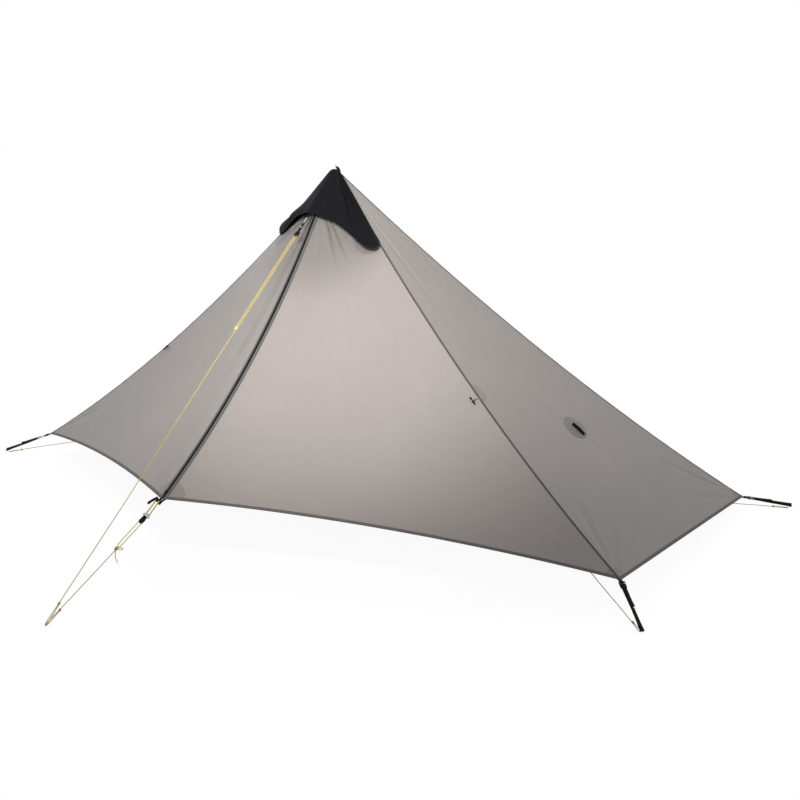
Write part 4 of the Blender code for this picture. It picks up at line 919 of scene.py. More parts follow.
def panel_points(surface, wrinkles, normal, top, middle, grid, start=RIDGE_EDGE):
    """A panel's points with its wrinkles, which die out at its sewn edges, and the same without wrinkles."""
    rows, columns = grid
    smooth = []
    for v in np.linspace(top, 1 - HEM_EDGE / high_at(surface, middle, 0.99), rows):
        low = min(start / wide_at(surface, 0.01, min(v, 0.99)), 0.4)
        high = 1 - min(RIDGE_EDGE / wide_at(surface, 0.98, min(v, 0.99)), 0.4)
        smooth.append([surface(low + (high - low) * share, v) for share in np.linspace(0, 1, columns)])
    smooth = np.array(smooth)
    lengths = grid_lengths(smooth)
    left = lengths[:, :, 0]
    nearest = np.minimum(left, left[:, -1:] - left)
    low = lengths[-1:, :, 1] - lengths[:, :, 1]
    ease = (1 - 0.85 * np.exp(-(nearest / 0.035) ** 2)) * (1 - 0.6 * np.exp(-(low / 0.03) ** 2))
    return smooth + normal * (wrinkles(smooth) * ease)[:, :, None], smooth


def add_cloth(name, points, smooth, normal, patches):
    """A cloth, with how far inside a doubled disc each of its points lies."""
    obj = shell(name, points, CLOTH_THICKNESS, CLOTH, normal, grid_lengths(smooth))
    depths = [radius - np.linalg.norm(smooth - centre, axis=-1) for centre, radius in patches]
    point_values(obj, "second_layer", [np.maximum(np.max(depths, axis=0), -1.0)] * 2)
    return obj


def make_cloths():
    points, smooth = panel_points(door_surface, door_wrinkles, DOOR_NORMAL, ABOVE_ZIP, 0.4, DOOR_GRID, ZIP_CLOTH_EDGE)
    # Painted shadow of the hood: full near the zip's top and fading out further down the door
    painted_hood_shade = step_down(np.linalg.norm(smooth - ZIP_TOP, axis=-1), HOOD_SHADE_FULL, HOOD_SHADE_GONE)
    for side, mirror in SIDES.items():
        obj = add_cloth(side + "_front_cloth", points * mirror, smooth, DOOR_NORMAL * mirror, DOOR_PATCHES)
        point_values(obj, "painted_hood_shade", [painted_hood_shade] * 2)
        on_door(obj, side, "fly_fabric", side + "_door", side + "_front_panel")
    points, smooth = panel_points(end_surface, end_wrinkles, END_NORMAL, TOWARDS_PEAK, 0.5, END_GRID)
    for side, mirror in SIDES.items():
        obj = add_cloth(side + "_end_cloth", points * mirror, smooth, END_NORMAL * mirror, END_PATCHES)
        ride(obj, "fly", "fly_fabric", side + "_end_panel")
    points, smooth = panel_points(back_surface, back_wrinkles, BACK_NORMAL, TOWARDS_PEAK, 0.5, BACK_GRID)
    obj = add_cloth("back_cloth", points, smooth, BACK_NORMAL, BACK_PATCHES)
    ride(obj, "fly", "fly_fabric", "back_panel")


def with_runs(rows):
    """Rows of (place, across, out), each with the length of path before it."""
    return [(run, *row) for run, row in zip(run_length([row[0] for row in rows]), rows)]


HEM_WIDTH, HEM_HALF = 0.0112, 0.0013
HEM_FROM_ZIP, HEM_FROM_SEAM = 0.0100, 0.0030


def hem_shape(run):
    half = HEM_HALF * (1 + 0.10 * math.sin(run * 61.0) + 0.08 * math.sin(run * 97.0 + 1.3))
    top = [(0.0006, half * 0.55), (0.0022, half), (HEM_WIDTH * 0.5, half * 0.86), (HEM_WIDTH - 0.0014, half * 0.8)]
    return top + [(HEM_WIDTH, 0.0002)] + [(s, -h) for s, h in top[::-1]] + [(0.0, 0.0)]


def hem_strip(name, surface, low, high, count, normal, mirror=1.0):
    """A folded hem along a panel's lower edge, with rounded edges and slight unevenness."""
    rows = []
    for u in np.linspace(low, high, count):
        edge = surface(u, 1.0)
        into = surface(u, 1.0 - HEM_WIDTH / high_at(surface, u, 0.99)) - edge
        along = unit(surface(u + 0.002, 1.0) - surface(u - 0.002, 1.0))
        into = unit(into - along * (into @ along))
        rows.append((edge, into, facing(unit(np.cross(along, into)), normal)))
    return swept(name, with_runs(rows), hem_shape, HEM, mirror)


def make_hems():
    door, end = [(start / wide_at(surface, 0.01, 0.99), 1 - HEM_FROM_SEAM / wide_at(surface, 0.98, 0.99))
                 for surface, start in ((door_surface, HEM_FROM_ZIP), (end_surface, HEM_FROM_SEAM))]
    for side, mirror in SIDES.items():
        obj = hem_strip(side + "_front_hem_fold", door_surface, *door, 171, DOOR_NORMAL, mirror)
        on_door(obj, side, "hem_binding", side + "_door_hem")
        obj = hem_strip(side + "_end_hem_fold", end_surface, *end, 121, END_NORMAL, mirror)
        ride(obj, "fly", "hem_binding", side + "_end_hem")
    low = HEM_FROM_SEAM / wide_at(back_surface, 0.01, 0.99)
    obj = hem_strip("back_hem_fold", back_surface, low, 1 - low, 201, BACK_NORMAL)
    ride(obj, "fly", "hem_binding", "back_hem")


RIDGES = {"front": (front_ridge, FRONT_RIDGE_OUT, 0.0040), "rear": (rear_ridge, REAR_RIDGE_OUT, 0.0036)}


def make_seam_bands():
    """The felled seam along each ridge, a little uneven."""
    for place, (curve, outward, half) in RIDGES.items():
        def shape_at(run):
            high = 0.0013 * (1 + 0.12 * math.sin(run * 73.0) + 0.08 * math.sin(run * 131.0 + 0.7))
            return [(half, -0.0004), (half * 0.78, high * 0.75), (half * 0.35, high), (-half * 0.35, high * 1.05),
                    (-half * 0.78, high * 0.75), (-half, -0.0004), (-half * 0.6, -high), (half * 0.6, -high)]

        path = [curve(t) for t in np.linspace(0.006, 0.999, 151)]
        rows = []
        for p, along in zip(path, tangents(path)):
            across = unit(np.cross(along, outward))
            rows.append((p, across, facing(unit(np.cross(across, along)), outward)))
        for side, mirror in SIDES.items():
            obj = swept(place + "_" + side + "_felled_seam", with_runs(rows), shape_at, SEAM, mirror, half)
            ride(obj, "fly", "ridge_seam", place + "_" + side + "_seam")


ZIP_SHAPE = [(0.0003, 0.0000), (0.0005, 0.0010), (0.0016, 0.0017), (0.0028, 0.0012), (0.0036, 0.0008),
             (0.0054, 0.0008), (0.0054, -0.0006), (0.0028, -0.0010), (0.0014, -0.0012), (0.0005, -0.0008)]


def facing_shape(run):
    swell = 1 + 0.10 * math.sin(run * 83.0)
    return [(0.0050, 0.0004), (0.0053, 0.0016 * swell), (0.0096, 0.0022 * swell), (0.0142, 0.0024),
            (0.0148, 0.0012), (0.0142, 0.0006), (0.0096, -0.0002), (0.0053, -0.0008)]


def make_zip():
    """Each half of the zip: a black tape with its coil, and the grey facing that it is sewn under."""
    rows = []
    for v in np.linspace(ABOVE_ZIP, 0.997, 126):
        along = unit(zip_curve(v + 0.005) - zip_curve(v - 0.005))
        lateral = unit(door_surface(0.02, v) - door_surface(0.0, v))
        lateral = unit(lateral - along * (lateral @ along))
        rows.append((zip_curve(v), lateral, facing(unit(np.cross(lateral, along)), UP)))
    rows = with_runs(rows)
    for side, mirror in SIDES.items():
        obj = swept(side + "_zip_coil", rows, lambda run: ZIP_SHAPE, COIL, mirror)
        on_door(obj, side, "zip_tape", side + "_zip_tape")
        on_door(swept(side + "_zip_facing", rows, facing_shape, TAPE_GREY, mirror), side, "hem_binding")


def vent_surface(u, v):
    outer = front_ridge(PANEL_START + (VENT_BOTTOM_ON_RIDGE - PANEL_START) * v)
    fold = (front_ridge(PANEL_START) * ON_MIDDLE - vec(0, 0.012, 0.002)) * (1 - v) + ZIP_TOP * v
    return fold * (1 - abs(u)) + outer * vec(1 if u > 0 else -1, 1, 1) * abs(u)


def make_vent():
    """The netting behind the hood, a little recessed."""
    rows = []
    for v in np.linspace(0.0, 0.86, 22):
        wide = np.linalg.norm(vent_surface(1.0, v) - vent_surface(0.0, v))
        reach = 1 - min(0.0042 / max(wide, 0.02), 0.3)
        rows.append([vent_surface(u * reach, v) - DOOR_NORMAL * ON_MIDDLE * 0.008 * v * (1 - abs(u))
                     for u in np.linspace(-1, 1, 49)])
    points = np.array(rows)
    mesh = shell("vent_netting", points, NET_THICKNESS, NET, UP)
    ride(mesh, "fly", "inner_mesh", "vent_panel")


make_cloths()
make_hems()
make_seam_bands()
make_zip()
make_vent()

# Peak and storm hood

HOOD_APEX = vec(0, -0.010, 1.274)
HOOD_TOP = 1.2550
HOOD_OUT = vec(0, -0.6, 0.8)
LEFT_BULGE, LEFT_BULGE_OUT = 0.016, vec(-0.662, -0.425, 0.617)
RIGHT_FOLD, LEFT_FOLD = (0.205, -0.160, 1.022), (-0.119, -0.126, 1.069)
HOOD_BRIM = (
    (0.2455, -0.0655, 1.0045), (0.261, -0.094, 0.990), (0.256, -0.124, 0.986), (0.236, -0.150, 0.997), RIGHT_FOLD,
    (0.158, -0.158, 1.053), (0.100, -0.153, 1.083), (0.045, -0.163, 1.103), (0.0, -0.170, 1.112),
    (-0.030, -0.159, 1.107), (-0.076, -0.142, 1.093), LEFT_FOLD, (-0.155, -0.111, 1.044), (-0.190, -0.094, 1.024),
    (-0.219, -0.077, 1.014), (-0.2345, -0.0615, 1.0135))


def hood_point(edge, b):
    """A point of the hood between its apex and its brim; its left lobe bulges over the ridge."""
    left = min(1.0, max(0.0, (-edge[0] - 0.02) / 0.10))
    bulge = LEFT_BULGE * left * max(b, 0.0)**6 * (1 - min(b, 1.0)**10) / 0.347
    return HOOD_APEX * (1 - b) + edge * b + LEFT_BULGE_OUT * bulge


def make_hood():
    """The hood with the folds that run down from the peak, and its stiff bound brim."""
    brim = smooth_route(HOOD_BRIM, 151)
    brim += (HOOD_APEX - brim) * (0.042 * np.clip((brim[:, 0] - 0.05) / 0.13, 0, 1))[:, None]
    place = run_length(brim) / run_length(brim)[-1]
    right, left = (place[np.argmin(np.linalg.norm(brim - vec(*fold), axis=1))] for fold in (RIGHT_FOLD, LEFT_FOLD))
    grooves = sum(share * np.exp(-((place - spot) / 0.011) ** 2)
                  for spot, share in ((right + 0.012, 1.0), (right - 0.055, 0.6), (left, 0.5)))
    side_ripple = wave_sum(place * 210.0, 61, (1.0, 1.6)) * step_down(place, right - 0.02, right + 0.02)
    ripple = wave_sum(place * 60.0, 62, (1.0, 1.6, 2.3))
    height = grooves * -0.0050 + side_ripple * 0.0022 + ripple * 0.0012
    rows, depth = [], []
    for b in np.concatenate([np.linspace(0.025, 0.2, 10), np.linspace(0.23, 1.0, 36)]):
        row = np.array([hood_point(edge, b) for edge in brim])
        ahead = np.array([hood_point(edge, b + 0.02) for edge in brim])
        normal = unit_rows(np.cross(tangents(row), ahead - row))
        normal = np.where((normal @ HOOD_OUT)[:, None] < 0, -normal, normal)
        row = row + normal * (height * math.sin(math.pi * b))[:, None]
        row[:, 2] = HOOD_TOP - np.logaddexp(0.0, 260.0 * (HOOD_TOP - row[:, 2])) / 260.0
        edge_depth = 0.0115 - (1 - b) * np.linalg.norm(brim - HOOD_APEX, axis=1)
        back = row[-1] + (BACKWARD * 0.016 - END_NORMAL * MIRROR_X * 0.020) * min(1.0, b * 1.6)
        turn = [row[-1] * (1 - t) + back * t + LEFT_BULGE_OUT * 0.003 * math.sin(math.pi * t) * b
                for t in (0.25, 0.5, 0.75, 1.0)]
        rows.append(np.concatenate([row, turn]))
        depth.append(np.concatenate([edge_depth, np.full(4, edge_depth[-1])]))
    points = np.array(rows)
    obj = shell("storm_hood", points, 0.0012, HOOD, HOOD_OUT)
    point_values(obj, "second_layer", [depth] * 2)
    ride(obj, "fly", "hood_fabric", "hood")
    edge = points[-1, :-4]
    out = unit_rows(edge - points[-2, :-4])
    across = np.cross(tangents(edge), out)
    angles = np.linspace(0, 2 * np.pi, 10, endpoint=False)
    shape = [(0.0030 * math.cos(a) - 0.0012, 0.0019 * math.sin(a)) for a in angles]
    stations = [placed(p, (o, c), shape) for p, o, c in zip(edge, out, across)]
    uvs = [[(r, a * 0.0022) for a in angles] for r in run_length(edge)]
    ride(lofted("hood_brim_binding", stations, BRIM, uvs, angle=80.0), "fly", "hood_fabric", "hood_brim")


def make_peak():
    profile = [(0, 1.212), (0.0115, 1.213), (0.0165, 1.219), (0.0158, 1.226), (0.0138, 1.234), (0.0110, 1.242),
               (0.0080, 1.2475), (0.0045, 1.2505), (0, 1.2515)]
    ride(lathe("peak_cap_cloth", profile, vec(0, -0.001, 0), UP, HOOD, 36), "fly", "hood_fabric", "peak_cap")
    start = vec(0, 0.0015, 0)
    route = placed(start, (RIGHT, UP), ((0.0100, 1.2450), (0.0076, 1.2520), (0.0030, 1.2585), (-0.0030, 1.2628),
                                        (-0.0062, 1.2630), (-0.0052, 1.2602), (-0.0006, 1.2562), (0.0034, 1.2500)))
    ride(band("peak_hang_tab", smooth_route(route, 36), BACKWARD, 0.0100, 0.0013, WEBBING), "fly", "black_webbing")
    route = placed(start, (RIGHT, UP), ((-0.0035, 1.2638), (-0.0072, 1.2652), (-0.0120, 1.2678)))
    ride(band("peak_pull_tag", smooth_route(route, 8), BACKWARD, 0.0070, 0.0010, LOOP_TAPE), "fly", "grey_tape")


make_hood()
make_peak()

# Corner straps and the guy strap

BUCKLE_START, BUCKLE_LENGTH = 0.005, 0.023
BUCKLE_BAR = BUCKLE_START + BUCKLE_LENGTH / 2 + 0.0045
STRAP_LOOP_HEIGHT = 0.0136
WEBBING_WIDTH, WEBBING_THICKNESS = 0.013, 0.0014
ANCHOR_RADIUS, ANCHOR_TURN = 0.0026, 0.0096
# Each corner's share of its strap at which the loose tail ends, and the strap's twist from buckle to peg
CORNERS = {
    "front_left": (0.645, 0.6),
    "front_right": (0.560, 0.35),
    "rear_right": (0.600, -0.65),
    "rear_left": (0.600, 0.65),
}


def make_corner(prefix, tail_share, turned):
    """A corner's anchor tape, which holds the buckle, and its strap with a peg loop and a loose tail."""
    end_name, side_name = prefix.split("_")
    curve, outward, _ = RIDGES[end_name]
    mirror = SIDES[side_name]
    corner = (FRONT_CORNER if end_name == "front" else REAR_CORNER) * mirror
    end = PEGS[prefix] + UP * STRAP_LOOP_HEIGHT
    length = np.linalg.norm(end - corner)
    along = unit(end - corner)
    side = unit(np.cross(along, UP))
    out = np.cross(side, along)
    size = np.linalg.norm(curve(1.0) - curve(0.99)) * 100

    def on_seam(lift, *backs):
        return [(curve(1 - back / size) + outward * lift) * mirror for back in backs]

    turn = [(ANCHOR_TURN + n, s) for s, n in arc(ANCHOR_RADIUS, 0, math.pi, 9)]
    path = on_seam(-0.0024, 0.024, 0.014, 0.005)
    path += placed(corner, (along, out), [(0.0030, 0.0006)] + turn + [(0.0030, -0.0026)])
    path = smooth_route(path + on_seam(-0.0042, 0.005, 0.014, 0.022), 90)
    anchor = band(prefix + "_anchor_tape", path, square_to(side, path), 0.0110, 0.0010, WEBBING)
    ride(anchor, "fly", "black_webbing", prefix + "_seam")

    bar, tail = BUCKLE_BAR, tail_share * length
    route = [(tail + 0.003, 0.0066), (tail - 0.006, 0.0054), (tail - 0.020, 0.0040), ((tail + bar) / 2, 0.0034)]
    route += arc(0.0038, math.pi / 2, math.pi * 1.5, 7, (bar, 0))
    route += [(bar + 0.014, -0.0024), (length * 0.5, -0.0012), (length - 0.050, -0.0012), (length - 0.016, -0.0020)]
    route += arc(0.0035, -math.pi * 0.55, math.pi * 0.55, 9, (length + 0.0060, 0), 0.0032)
    route += [(length - 0.016, 0.0018), (length - 0.050, 0.0010), (length - 0.070, 0.0010)]
    flat = smooth_route([(s, n, 0.0) for s, n in route], 170)
    twist = turned * eased((flat[:, 0] - 0.030) / (length * 0.45))
    places = [corner + along * s + (out * math.cos(a) - side * math.sin(a)) * n for (s, n, _), a in zip(flat, twist)]
    axes = [side * math.cos(a) + out * math.sin(a) for a in twist]
    strap = band(prefix + "_strap_webbing", places, axes, WEBBING_WIDTH, WEBBING_THICKNESS, WEBBING)
    ride(strap, "fly", "black_webbing", prefix + "_strap")


def make_guy_strap():
    """Black webbing from the peak, with two reflective strips on it, one long and one short."""
    path = [PEAK + GUY * s for s in np.linspace(GUY_STRAP_START, GUY_STRAP_END + 0.004, 44)]
    strap = band("front_guy_webbing", path, RIGHT, 0.0122, 0.0018, WEBBING)
    ride(strap, "fly", "black_webbing", "front_guy_strap")
    for label, start, end in (("long", 0.236, 0.262), ("short", 0.277, 0.283)):
        path = [PEAK + GUY * s + GUY_OUT * 0.0011 for s in np.linspace(start, end, 7)]
        ride(band("reflective_strip_" + label, path, RIGHT, 0.0042, 0.0006, REFLECTIVE, False), "fly", "grey_tape")


for corner_name, (tail_share, twist) in CORNERS.items():
    make_corner(corner_name, tail_share, twist)
make_guy_strap()

# Moulded pieces and tabs


def plate(name, centre, axes, size, corner, bevel=0.0006):
    """A moulded plate with rounded corners and softened edges."""
    half_a, half_w, half_t = (side / 2 for side in size)

    def outline(inset, height):
        a, w, r = half_a - inset, half_w - inset, max(corner - inset, 0.0002)
        ring = []
        for quarter, (sa, sw) in enumerate(((1, 1), (-1, 1), (-1, -1), (1, -1))):
            start = math.pi / 2 * quarter
            ring += [(*spot, height) for spot in arc(r, start, start + math.pi / 2, 5, (sa * (a - r), sw * (w - r)))]
        return ring

    levels = ((bevel, -half_t), (0.0, -half_t + bevel), (0.0, half_t - bevel), (bevel, half_t))
    rings = [outline(inset, height) for inset, height in levels]
    uvs = [[spot[:2] for spot in ring] for ring in rings]
    return lofted(name, [placed(centre, axes, ring) for ring in rings], PLASTIC, uvs, angle=35.0)


def make_line_lock(name, place, axes, width, body, node):
    """A cord lock: two plates about the boss that the line turns round, a bar for its tape, and grip ribs."""
    along, _, out = axes
    boss = [(0, -0.0026), (0.0034, -0.0024), (0.0026, 0.0), (0.0034, 0.0024), (0, 0.0030)]
    pieces = [plate(name + label, place + along * s + out * n, axes, (long, width * share, thick), corner, bevel)
              for label, s, n, long, share, thick, corner, bevel in (
                  ("_base", 0.0112, -0.0026, 0.0224, 1.0, 0.0018, 0.0040, 0.0006),
                  ("_cover", 0.0150, 0.0026, 0.0115, 1.0, 0.0018, 0.0026, 0.0006),
                  ("_bridge", 0.0042, 0.0, 0.0080, 0.96, 0.0050, 0.0020, 0.0006),
                  ("_rib_0", 0.0120, 0.0037, 0.0012, 0.72, 0.0006, 0.0005, 0.0002),
                  ("_rib_1", 0.0148, 0.0037, 0.0012, 0.72, 0.0006, 0.0005, 0.0002),
                  ("_rib_2", 0.0176, 0.0037, 0.0012, 0.72, 0.0006, 0.0005, 0.0002))]
    pieces.append(lathe(name + "_boss", boss, place + along * BOSS_PLACE, out, PLASTIC, 24))
    for piece in pieces:
        ride(piece, body, "black_plastic", node)


def make_locks():
    make_line_lock("front_lock", GUY_LOCK, (GUY, RIGHT, GUY_OUT), 0.0170, "fly", "front_guy_lock")
    axes = (LINE, LINE_WIDE, LINE_FACE)
    make_line_lock("vestibule_tensioner", LINE_LOCK, axes, 0.0155, "vestibule_line", "vestibule_lock")
    bar = VESTIBULE_TIP + LINE * (RING_PLACE + 0.0030)
    route = [LINE_LOCK + LINE * 0.0020 + LINE_FACE * 0.0030, bar + LINE * 0.0040 + LINE_FACE * 0.0032]
    route += placed(bar, (LINE_FACE, -LINE), arc(0.0031, 0, math.pi, 9))
    route += [bar + LINE * 0.0040 - LINE_FACE * 0.0032, LINE_LOCK + LINE * 0.0020 - LINE_FACE * 0.0030]
    tie = band("vestibule_tensioner_webbing", smooth_route(route, 40), LINE_WIDE, 0.0125, 0.0012, WEBBING)
    ride(tie, "vestibule_line", "black_webbing", "vestibule_lock")


def make_door_tabs():
    """The webbing at the foot of each door: a loop with a long tail on the left, and a short pull tab on the right."""
    foot = VESTIBULE_TIP + RIGHT * TAB_OFFSET
    across = unit(door_surface(0.02, 1.0) - door_surface(0.005, 1.0))

    def base(depth):
        return [door_surface(TAB_OFFSET / wide_at(door_surface, 0.01, v), v) - DOOR_NORMAL * depth
                for v in (0.975, 0.986, 0.999)]

    def strip(name, places, side, width, node, face=None):
        places = smooth_route(places, 40)
        share = np.clip(run_length(places) / 0.020, 0, 1)[:, None]
        axes = across * (1 - share) + RIGHT * share if face is None else np.cross(tangents(places), face)
        axes = square_to(axes, places)
        obj = band(name, places * SIDES[side], axes * SIDES[side], width, 0.0014, WEBBING)
        ride(obj, side + "_door", "black_webbing", node)

    turn = arc(0.0040, -math.pi / 2, math.pi / 2, 9, (0.0098, 0), 0.0042)
    loop = placed(foot, (LINE, LINE_OUT), [(0.0060, -0.0034)] + turn + [(0.0040, 0.0012), (0.0020, 0.0010)])
    strip("left_foot_loop", base(0.0027) + loop, "left", 0.0110, "left_door_tab")
    tail = placed(foot, (LINE, RIGHT, LINE_OUT), ((0.0010, 0.0035, 0.0050), (0.0120, 0.0085, 0.0074),
                                                  (0.0240, 0.0142, 0.0078), (0.0350, 0.0195, 0.0066)))
    strip("left_foot_tail", tail, "left", 0.0085, "left_door_tab", LINE_FACE * MIRROR_X)
    pull = placed(foot - RIGHT * 0.0040, (LINE, LINE_OUT), ((0.0080, -0.0030), (0.0150, -0.0034), (0.0200, -0.0042)))
    strip("right_foot_pull", base(0.0034) + pull, "right", 0.0110, "right_door_tab")


TOGGLE_PLACE = 0.550
TOGGLE_FROM_SEAM, TOGGLE_PROUD = 0.0262, 0.0085
TOGGLE_TAPE_RADIUS = 0.0048
TOGGLE_HALF_PROFILE = [(0, 0.014), (0.0016, 0.0139), (0.0026, 0.0132), (0.0030, 0.0118), (0.0030, 0.0068),
                       (0.0027, 0.0058), (0.0028, 0.0050)]


def make_toggles():
    """Each front ridge's toggle bar in its loop of grey tape, which is sewn into the seam."""
    place = front_ridge(TOGGLE_PLACE)
    along = unit(front_ridge(TOGGLE_PLACE + 0.01) - front_ridge(TOGGLE_PLACE - 0.01))
    out = unit(DOOR_NORMAL - along * (DOOR_NORMAL @ along))
    side = facing(np.cross(along, out), -RIGHT)
    centre = place + side * TOGGLE_FROM_SEAM + out * TOGGLE_PROUD
    profile = [(r, -h) for r, h in TOGGLE_HALF_PROFILE] + TOGGLE_HALF_PROFILE[::-1]
    path = placed(place, (side, out), ((0.0028, 0.0022), (0.0090, 0.0048), (0.0160, 0.0078)))
    path += placed(centre, (side, out), arc(TOGGLE_TAPE_RADIUS, math.pi * 0.60, -math.pi * 0.60, 9))
    path += placed(place, (side, out), ((0.0150, 0.0044), (0.0064, 0.0018)))
    for prefix, mirror in SIDES.items():
        bar = lathe(prefix + "_toggle_bar", profile, centre * mirror, along * mirror, PLASTIC, 28)
        ride(bar, prefix + "_toggle", "black_plastic", prefix + "_toggle")
        points = smooth_route(path, 40) * mirror
        loop = band(prefix + "_toggle_tape", points, square_to(along * mirror, points), 0.0034, 0.0009, LOOP_TAPE)
        ride(loop, "fly", "grey_tape", prefix + "_toggle_loop")


GUYOUT_RINGS = ((1.0, 0.0010), (1.0, 0.0016), (0.985, 0.0019), (0.95, 0.0019), (0.92, 0.0017), (0.89, 0.0019),
                (0.7, 0.0020), (0.4, 0.0020), (0.1, 0.0020))
GUYOUT_ARCH = ((-0.0285, 0.0052), (-0.0200, 0.0056), (-0.0120, 0.0066), (0.0, 0.0072), (0.0120, 0.0066),
               (0.0200, 0.0056), (0.0285, 0.0052))


def make_guyouts():
    """The round sewn patch on each end panel, with its black webbing tab."""
    centre, down, across, out = guyout_frame()
    u, v = GUYOUT_PLACE
    slopes = np.stack([(end_surface(u + 0.01, v) - end_surface(u - 0.01, v)) / 0.02,
                       (end_surface(u, v + 0.01) - end_surface(u, v - 0.01)) / 0.02], axis=1)
    stations, uvs, steps = [], [], 64
    for scale, lift in GUYOUT_RINGS:
        ring, flat = [], []
        for angle in np.linspace(0, 2 * math.pi, steps, endpoint=False):
            spoke = GUYOUT_RADIUS * scale * (down * math.cos(angle) + across * math.sin(angle))
            step = np.linalg.lstsq(slopes, spoke, rcond=None)[0]
            ring.append(end_surface(u + step[0], v + step[1]) + out * lift)
            flat.append((spoke @ down + 0.2, spoke @ across + 0.2))
        stations.append(ring)
        uvs.append(flat)
    depths = [GUYOUT_RADIUS * (1 - scale) for scale, _ in GUYOUT_RINGS]
    arch = placed(centre + down * GUYOUT_TAB_SHIFT, (down, out), GUYOUT_ARCH)
    for prefix, mirror in SIDES.items():
        patch = lofted(prefix + "_guyout_patch", np.array(stations) * mirror, CLOTH_PATCH, uvs)
        point_values(patch, "second_layer", np.repeat(depths, steps))
        ride(patch, "fly", "fly_fabric", prefix + "_guyout")
        path = smooth_route(arch, 40) * mirror
        tab = band(prefix + "_guyout_webbing", path, (across * 0.45 + out * 0.89) * mirror, 0.0120, 0.0024, WEBBING)
        ride(tab, "fly", "black_webbing", prefix + "_guyout")


make_locks()
make_door_tabs()
make_toggles()
make_guyouts()

# Inner tent

INNER_HALF_LENGTH = 1.05
INNER_FRONT, INNER_BACK = 0.035, 0.700
TUB_HEIGHT, TUB_LEAN, TUB_CORNER = 0.100, 0.022, 0.012
INNER_PEAK = vec(0, 0.045, 1.060)
DOORWAY = ((0.050, 0.130), (0.780, 0.130), (0.050, 0.800))
TUB_LEVELS = ((0.0004, 0.0080), (0.0002, 0.0030), (0.0016, 0.0006), (0.006, 0.0010), (0.03, 0.0062), (0.06, 0.0128),
              (0.090, 0.0196), (0.0985, 0.0216), (0.0998, 0.0226), (0.0985, 0.0236), (0.090, 0.0216),
              (0.06, 0.0148), (0.03, 0.0082), (0.008, 0.0034), (0.0034, 0.0070), (0.0030, 0.0120))


def tub_sides(inset):
    """Half length, front and back of the tray at an inset of its leaning walls."""
    return INNER_HALF_LENGTH - inset, INNER_FRONT + inset * 0.45, INNER_BACK - inset * 2.3


def make_inner_floor():
    """The tray floor: waterproof cloth with soft corners, a little waviness in its walls and a bound rim."""
    stations, uvs = [], []
    for height, inset in TUB_LEVELS:
        long, near, far = tub_sides(inset)
        spots = []
        for cx, cy, start in ((long, near, -0.5), (long, far, 0.0), (-long, far, 0.5), (-long, near, 1.0)):
            middle = (cx - math.copysign(TUB_CORNER, cx), cy + (TUB_CORNER if cy == near else -TUB_CORNER))
            spots += [(*spot, height) for spot in arc(TUB_CORNER, math.pi * start, math.pi * (start + 0.5), 6, middle)]
        ring, places = resampled(np.array(spots + [spots[0]]), 240, False)
        lean = np.sin(math.pi * min(1.0, height / TUB_HEIGHT))
        ring[:, 1] += 0.0012 * np.sin(places * 21.0) * np.sin(places * 7.3) * lean
        stations.append(ring)
        uvs.append(np.stack([places, np.full(len(places), height)], axis=1))
    tray = lofted("inner_tray_cloth", stations, FLOOR_CLOTH, uvs, angle=40.0)
    ride(tray, "fly", "floor_fabric", "inner_floor")


def net_wall(name, corners, rows, columns, sag, normal, node="inner_canopy", body="fly"):
    """A wall of netting between four points, hanging in a little between its taut edges."""
    a, b, c, d = corners
    points = np.array([[(a * (1 - v) + d * v) * (1 - u) + (b * (1 - v) + c * v) * u
                        + normal * sag * 16 * u * (1 - u) * v * (1 - v) for u in np.linspace(0, 1, columns)]
                       for v in np.linspace(0, 1, rows)])
    obj = shell(name, points, NET_THICKNESS, NET, normal)
    ride(obj, body, "inner_mesh", node)


def edge_tape(name, start, end, width, node="inner_canopy", body="fly"):
    """Narrow black binding along an edge of the netting."""
    points = [start, (start + end) / 2, end]
    path = smooth_route(points, max(8, int(run_length(points)[-1] / 0.02)))
    ride(tube(name, path, width / 2, BRIM), body, "inner_mesh", node)


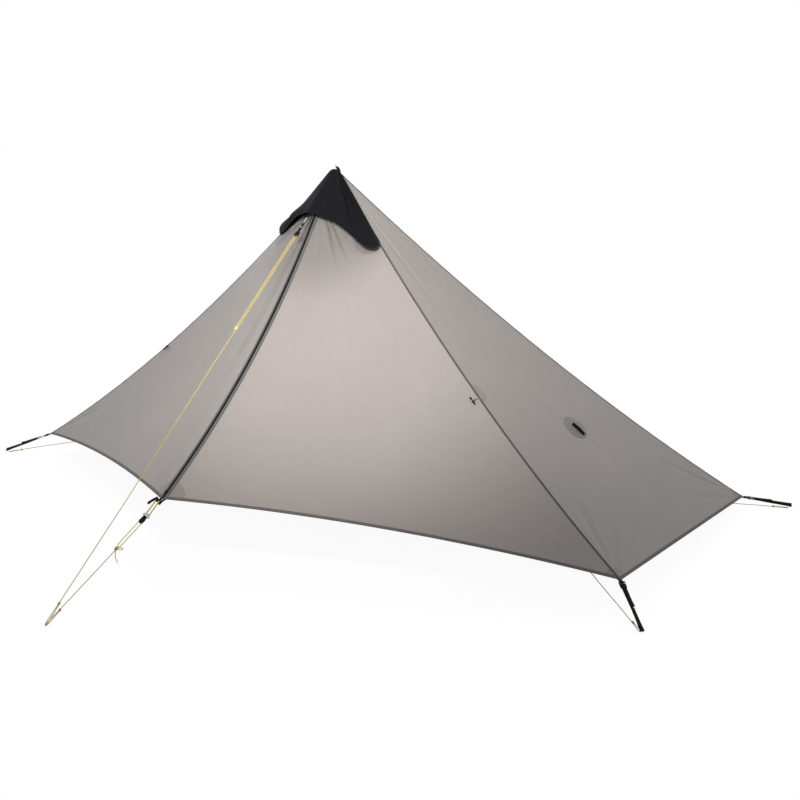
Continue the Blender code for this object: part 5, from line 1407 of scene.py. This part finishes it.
def make_inner_tent():
    long, near, far = tub_sides(TUB_LEAN + 0.0015)
    rim = [vec(x, y, TUB_HEIGHT + 0.0020) for x, y in ((-long, near), (long, near), (long, far), (-long, far))]
    peak = INNER_PEAK
    rises = [(z - rim[0][2]) / (peak[2] - rim[0][2]) for _, z in DOORWAY]
    low, right, high = [vec(x, rim[0][1] * (1 - t) + peak[1] * t, z) for (x, z), t in zip(DOORWAY, rises)]
    for label, k, columns, sag in (("right_end", 1, 24, -0.010), ("back", 2, 40, -0.012), ("left_end", 3, 24, -0.010)):
        a, b = rim[k], rim[(k + 1) % 4]
        net_wall("inner_net_" + label, (a, b, peak, peak), 24, columns, sag, unit(np.cross(b - a, peak - a)))
    net_wall("inner_net_front_low", (rim[0], rim[1], right, low), 6, 40, 0.0, -BACKWARD)
    net_wall("inner_net_front_left", (rim[0], low, high, peak), 24, 24, 0.0, -BACKWARD)
    net_wall("inner_net_front_right", (rim[1], peak, high, right), 24, 24, 0.0, -BACKWARD)
    for k in range(4):
        edge_tape("inner_rib_%d" % k, rim[k], peak, 0.0036)
    middle = (low + right + high) / 3
    low, right, high = [p + (middle - p) * 0.0214 for p in (low, right, high)]
    net_wall("inner_door_net", (low, right, high, high), 20, 24, 0.0, -BACKWARD, "inner_door", "inner_door")
    for label, start, end in (("low_zip", low, right), ("side_zip", low, high), ("hinge_seam", right, high)):
        edge_tape("inner_door_" + label, start, end, 0.0034, "inner_door", "inner_door")
    start = peak + UP * 0.0010
    route = [start, start + vec(0, -0.004, 0.020), start + vec(0, -0.014, 0.050), vec(0, 0.0200, 1.1350)]
    strap = band("inner_hang_webbing", smooth_route(route, 30), RIGHT, 0.0100, 0.0014, WEBBING)
    ride(strap, "fly", "black_webbing", "inner_hang_strap")


make_inner_floor()
make_inner_tent()

# Pole

GRIP_BOTTOM, POLE_TOP = 1.085, 1.206


def make_grip():
    """The foam grip with its moulded rings and rounded top."""
    rows = [(0, 0), (0.0122, 0.0003), (0.0134, 0.0020), (0.0148, 0.0100)]
    for low in (0.0140 + 0.0085 * k for k in range(8)):
        swell = 0.0140 + 0.0010 * math.cos(low * 78.0)
        rows += [(swell, low), (swell, low + 0.0055), (swell - 0.0008, low + 0.0062), (swell - 0.0008, low + 0.0078)]
    top = POLE_TOP - GRIP_BOTTOM
    rows += [(0.0148, 0.0860), (0.0146, top - 0.0140), (0.0130, top - 0.0060), (0.0080, top - 0.0008), (0, top)]
    profile = [(radius, GRIP_BOTTOM + height) for radius, height in rows]
    ride(lathe("pole_grip_foam", profile, vec(0, 0, 0), UP, GRIP), "fly", "grip_foam", "pole_grip")


make_grip()

# Solids that stay as they are, each with its material
bpy.context.view_layer.update()
PLASTIC_NODES = ["zip_slider", "pole_clamp", "pole_clamp_lever", "pole_tip"] + [name + "_buckle" for name in CORNERS]
for names, material in ((PLASTIC_NODES, PLASTIC), (("pole_upper_tube", "pole_lower_tube"), ALLOY)):
    for name in names:
        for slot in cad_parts[name].material_slots:
            slot.material = material
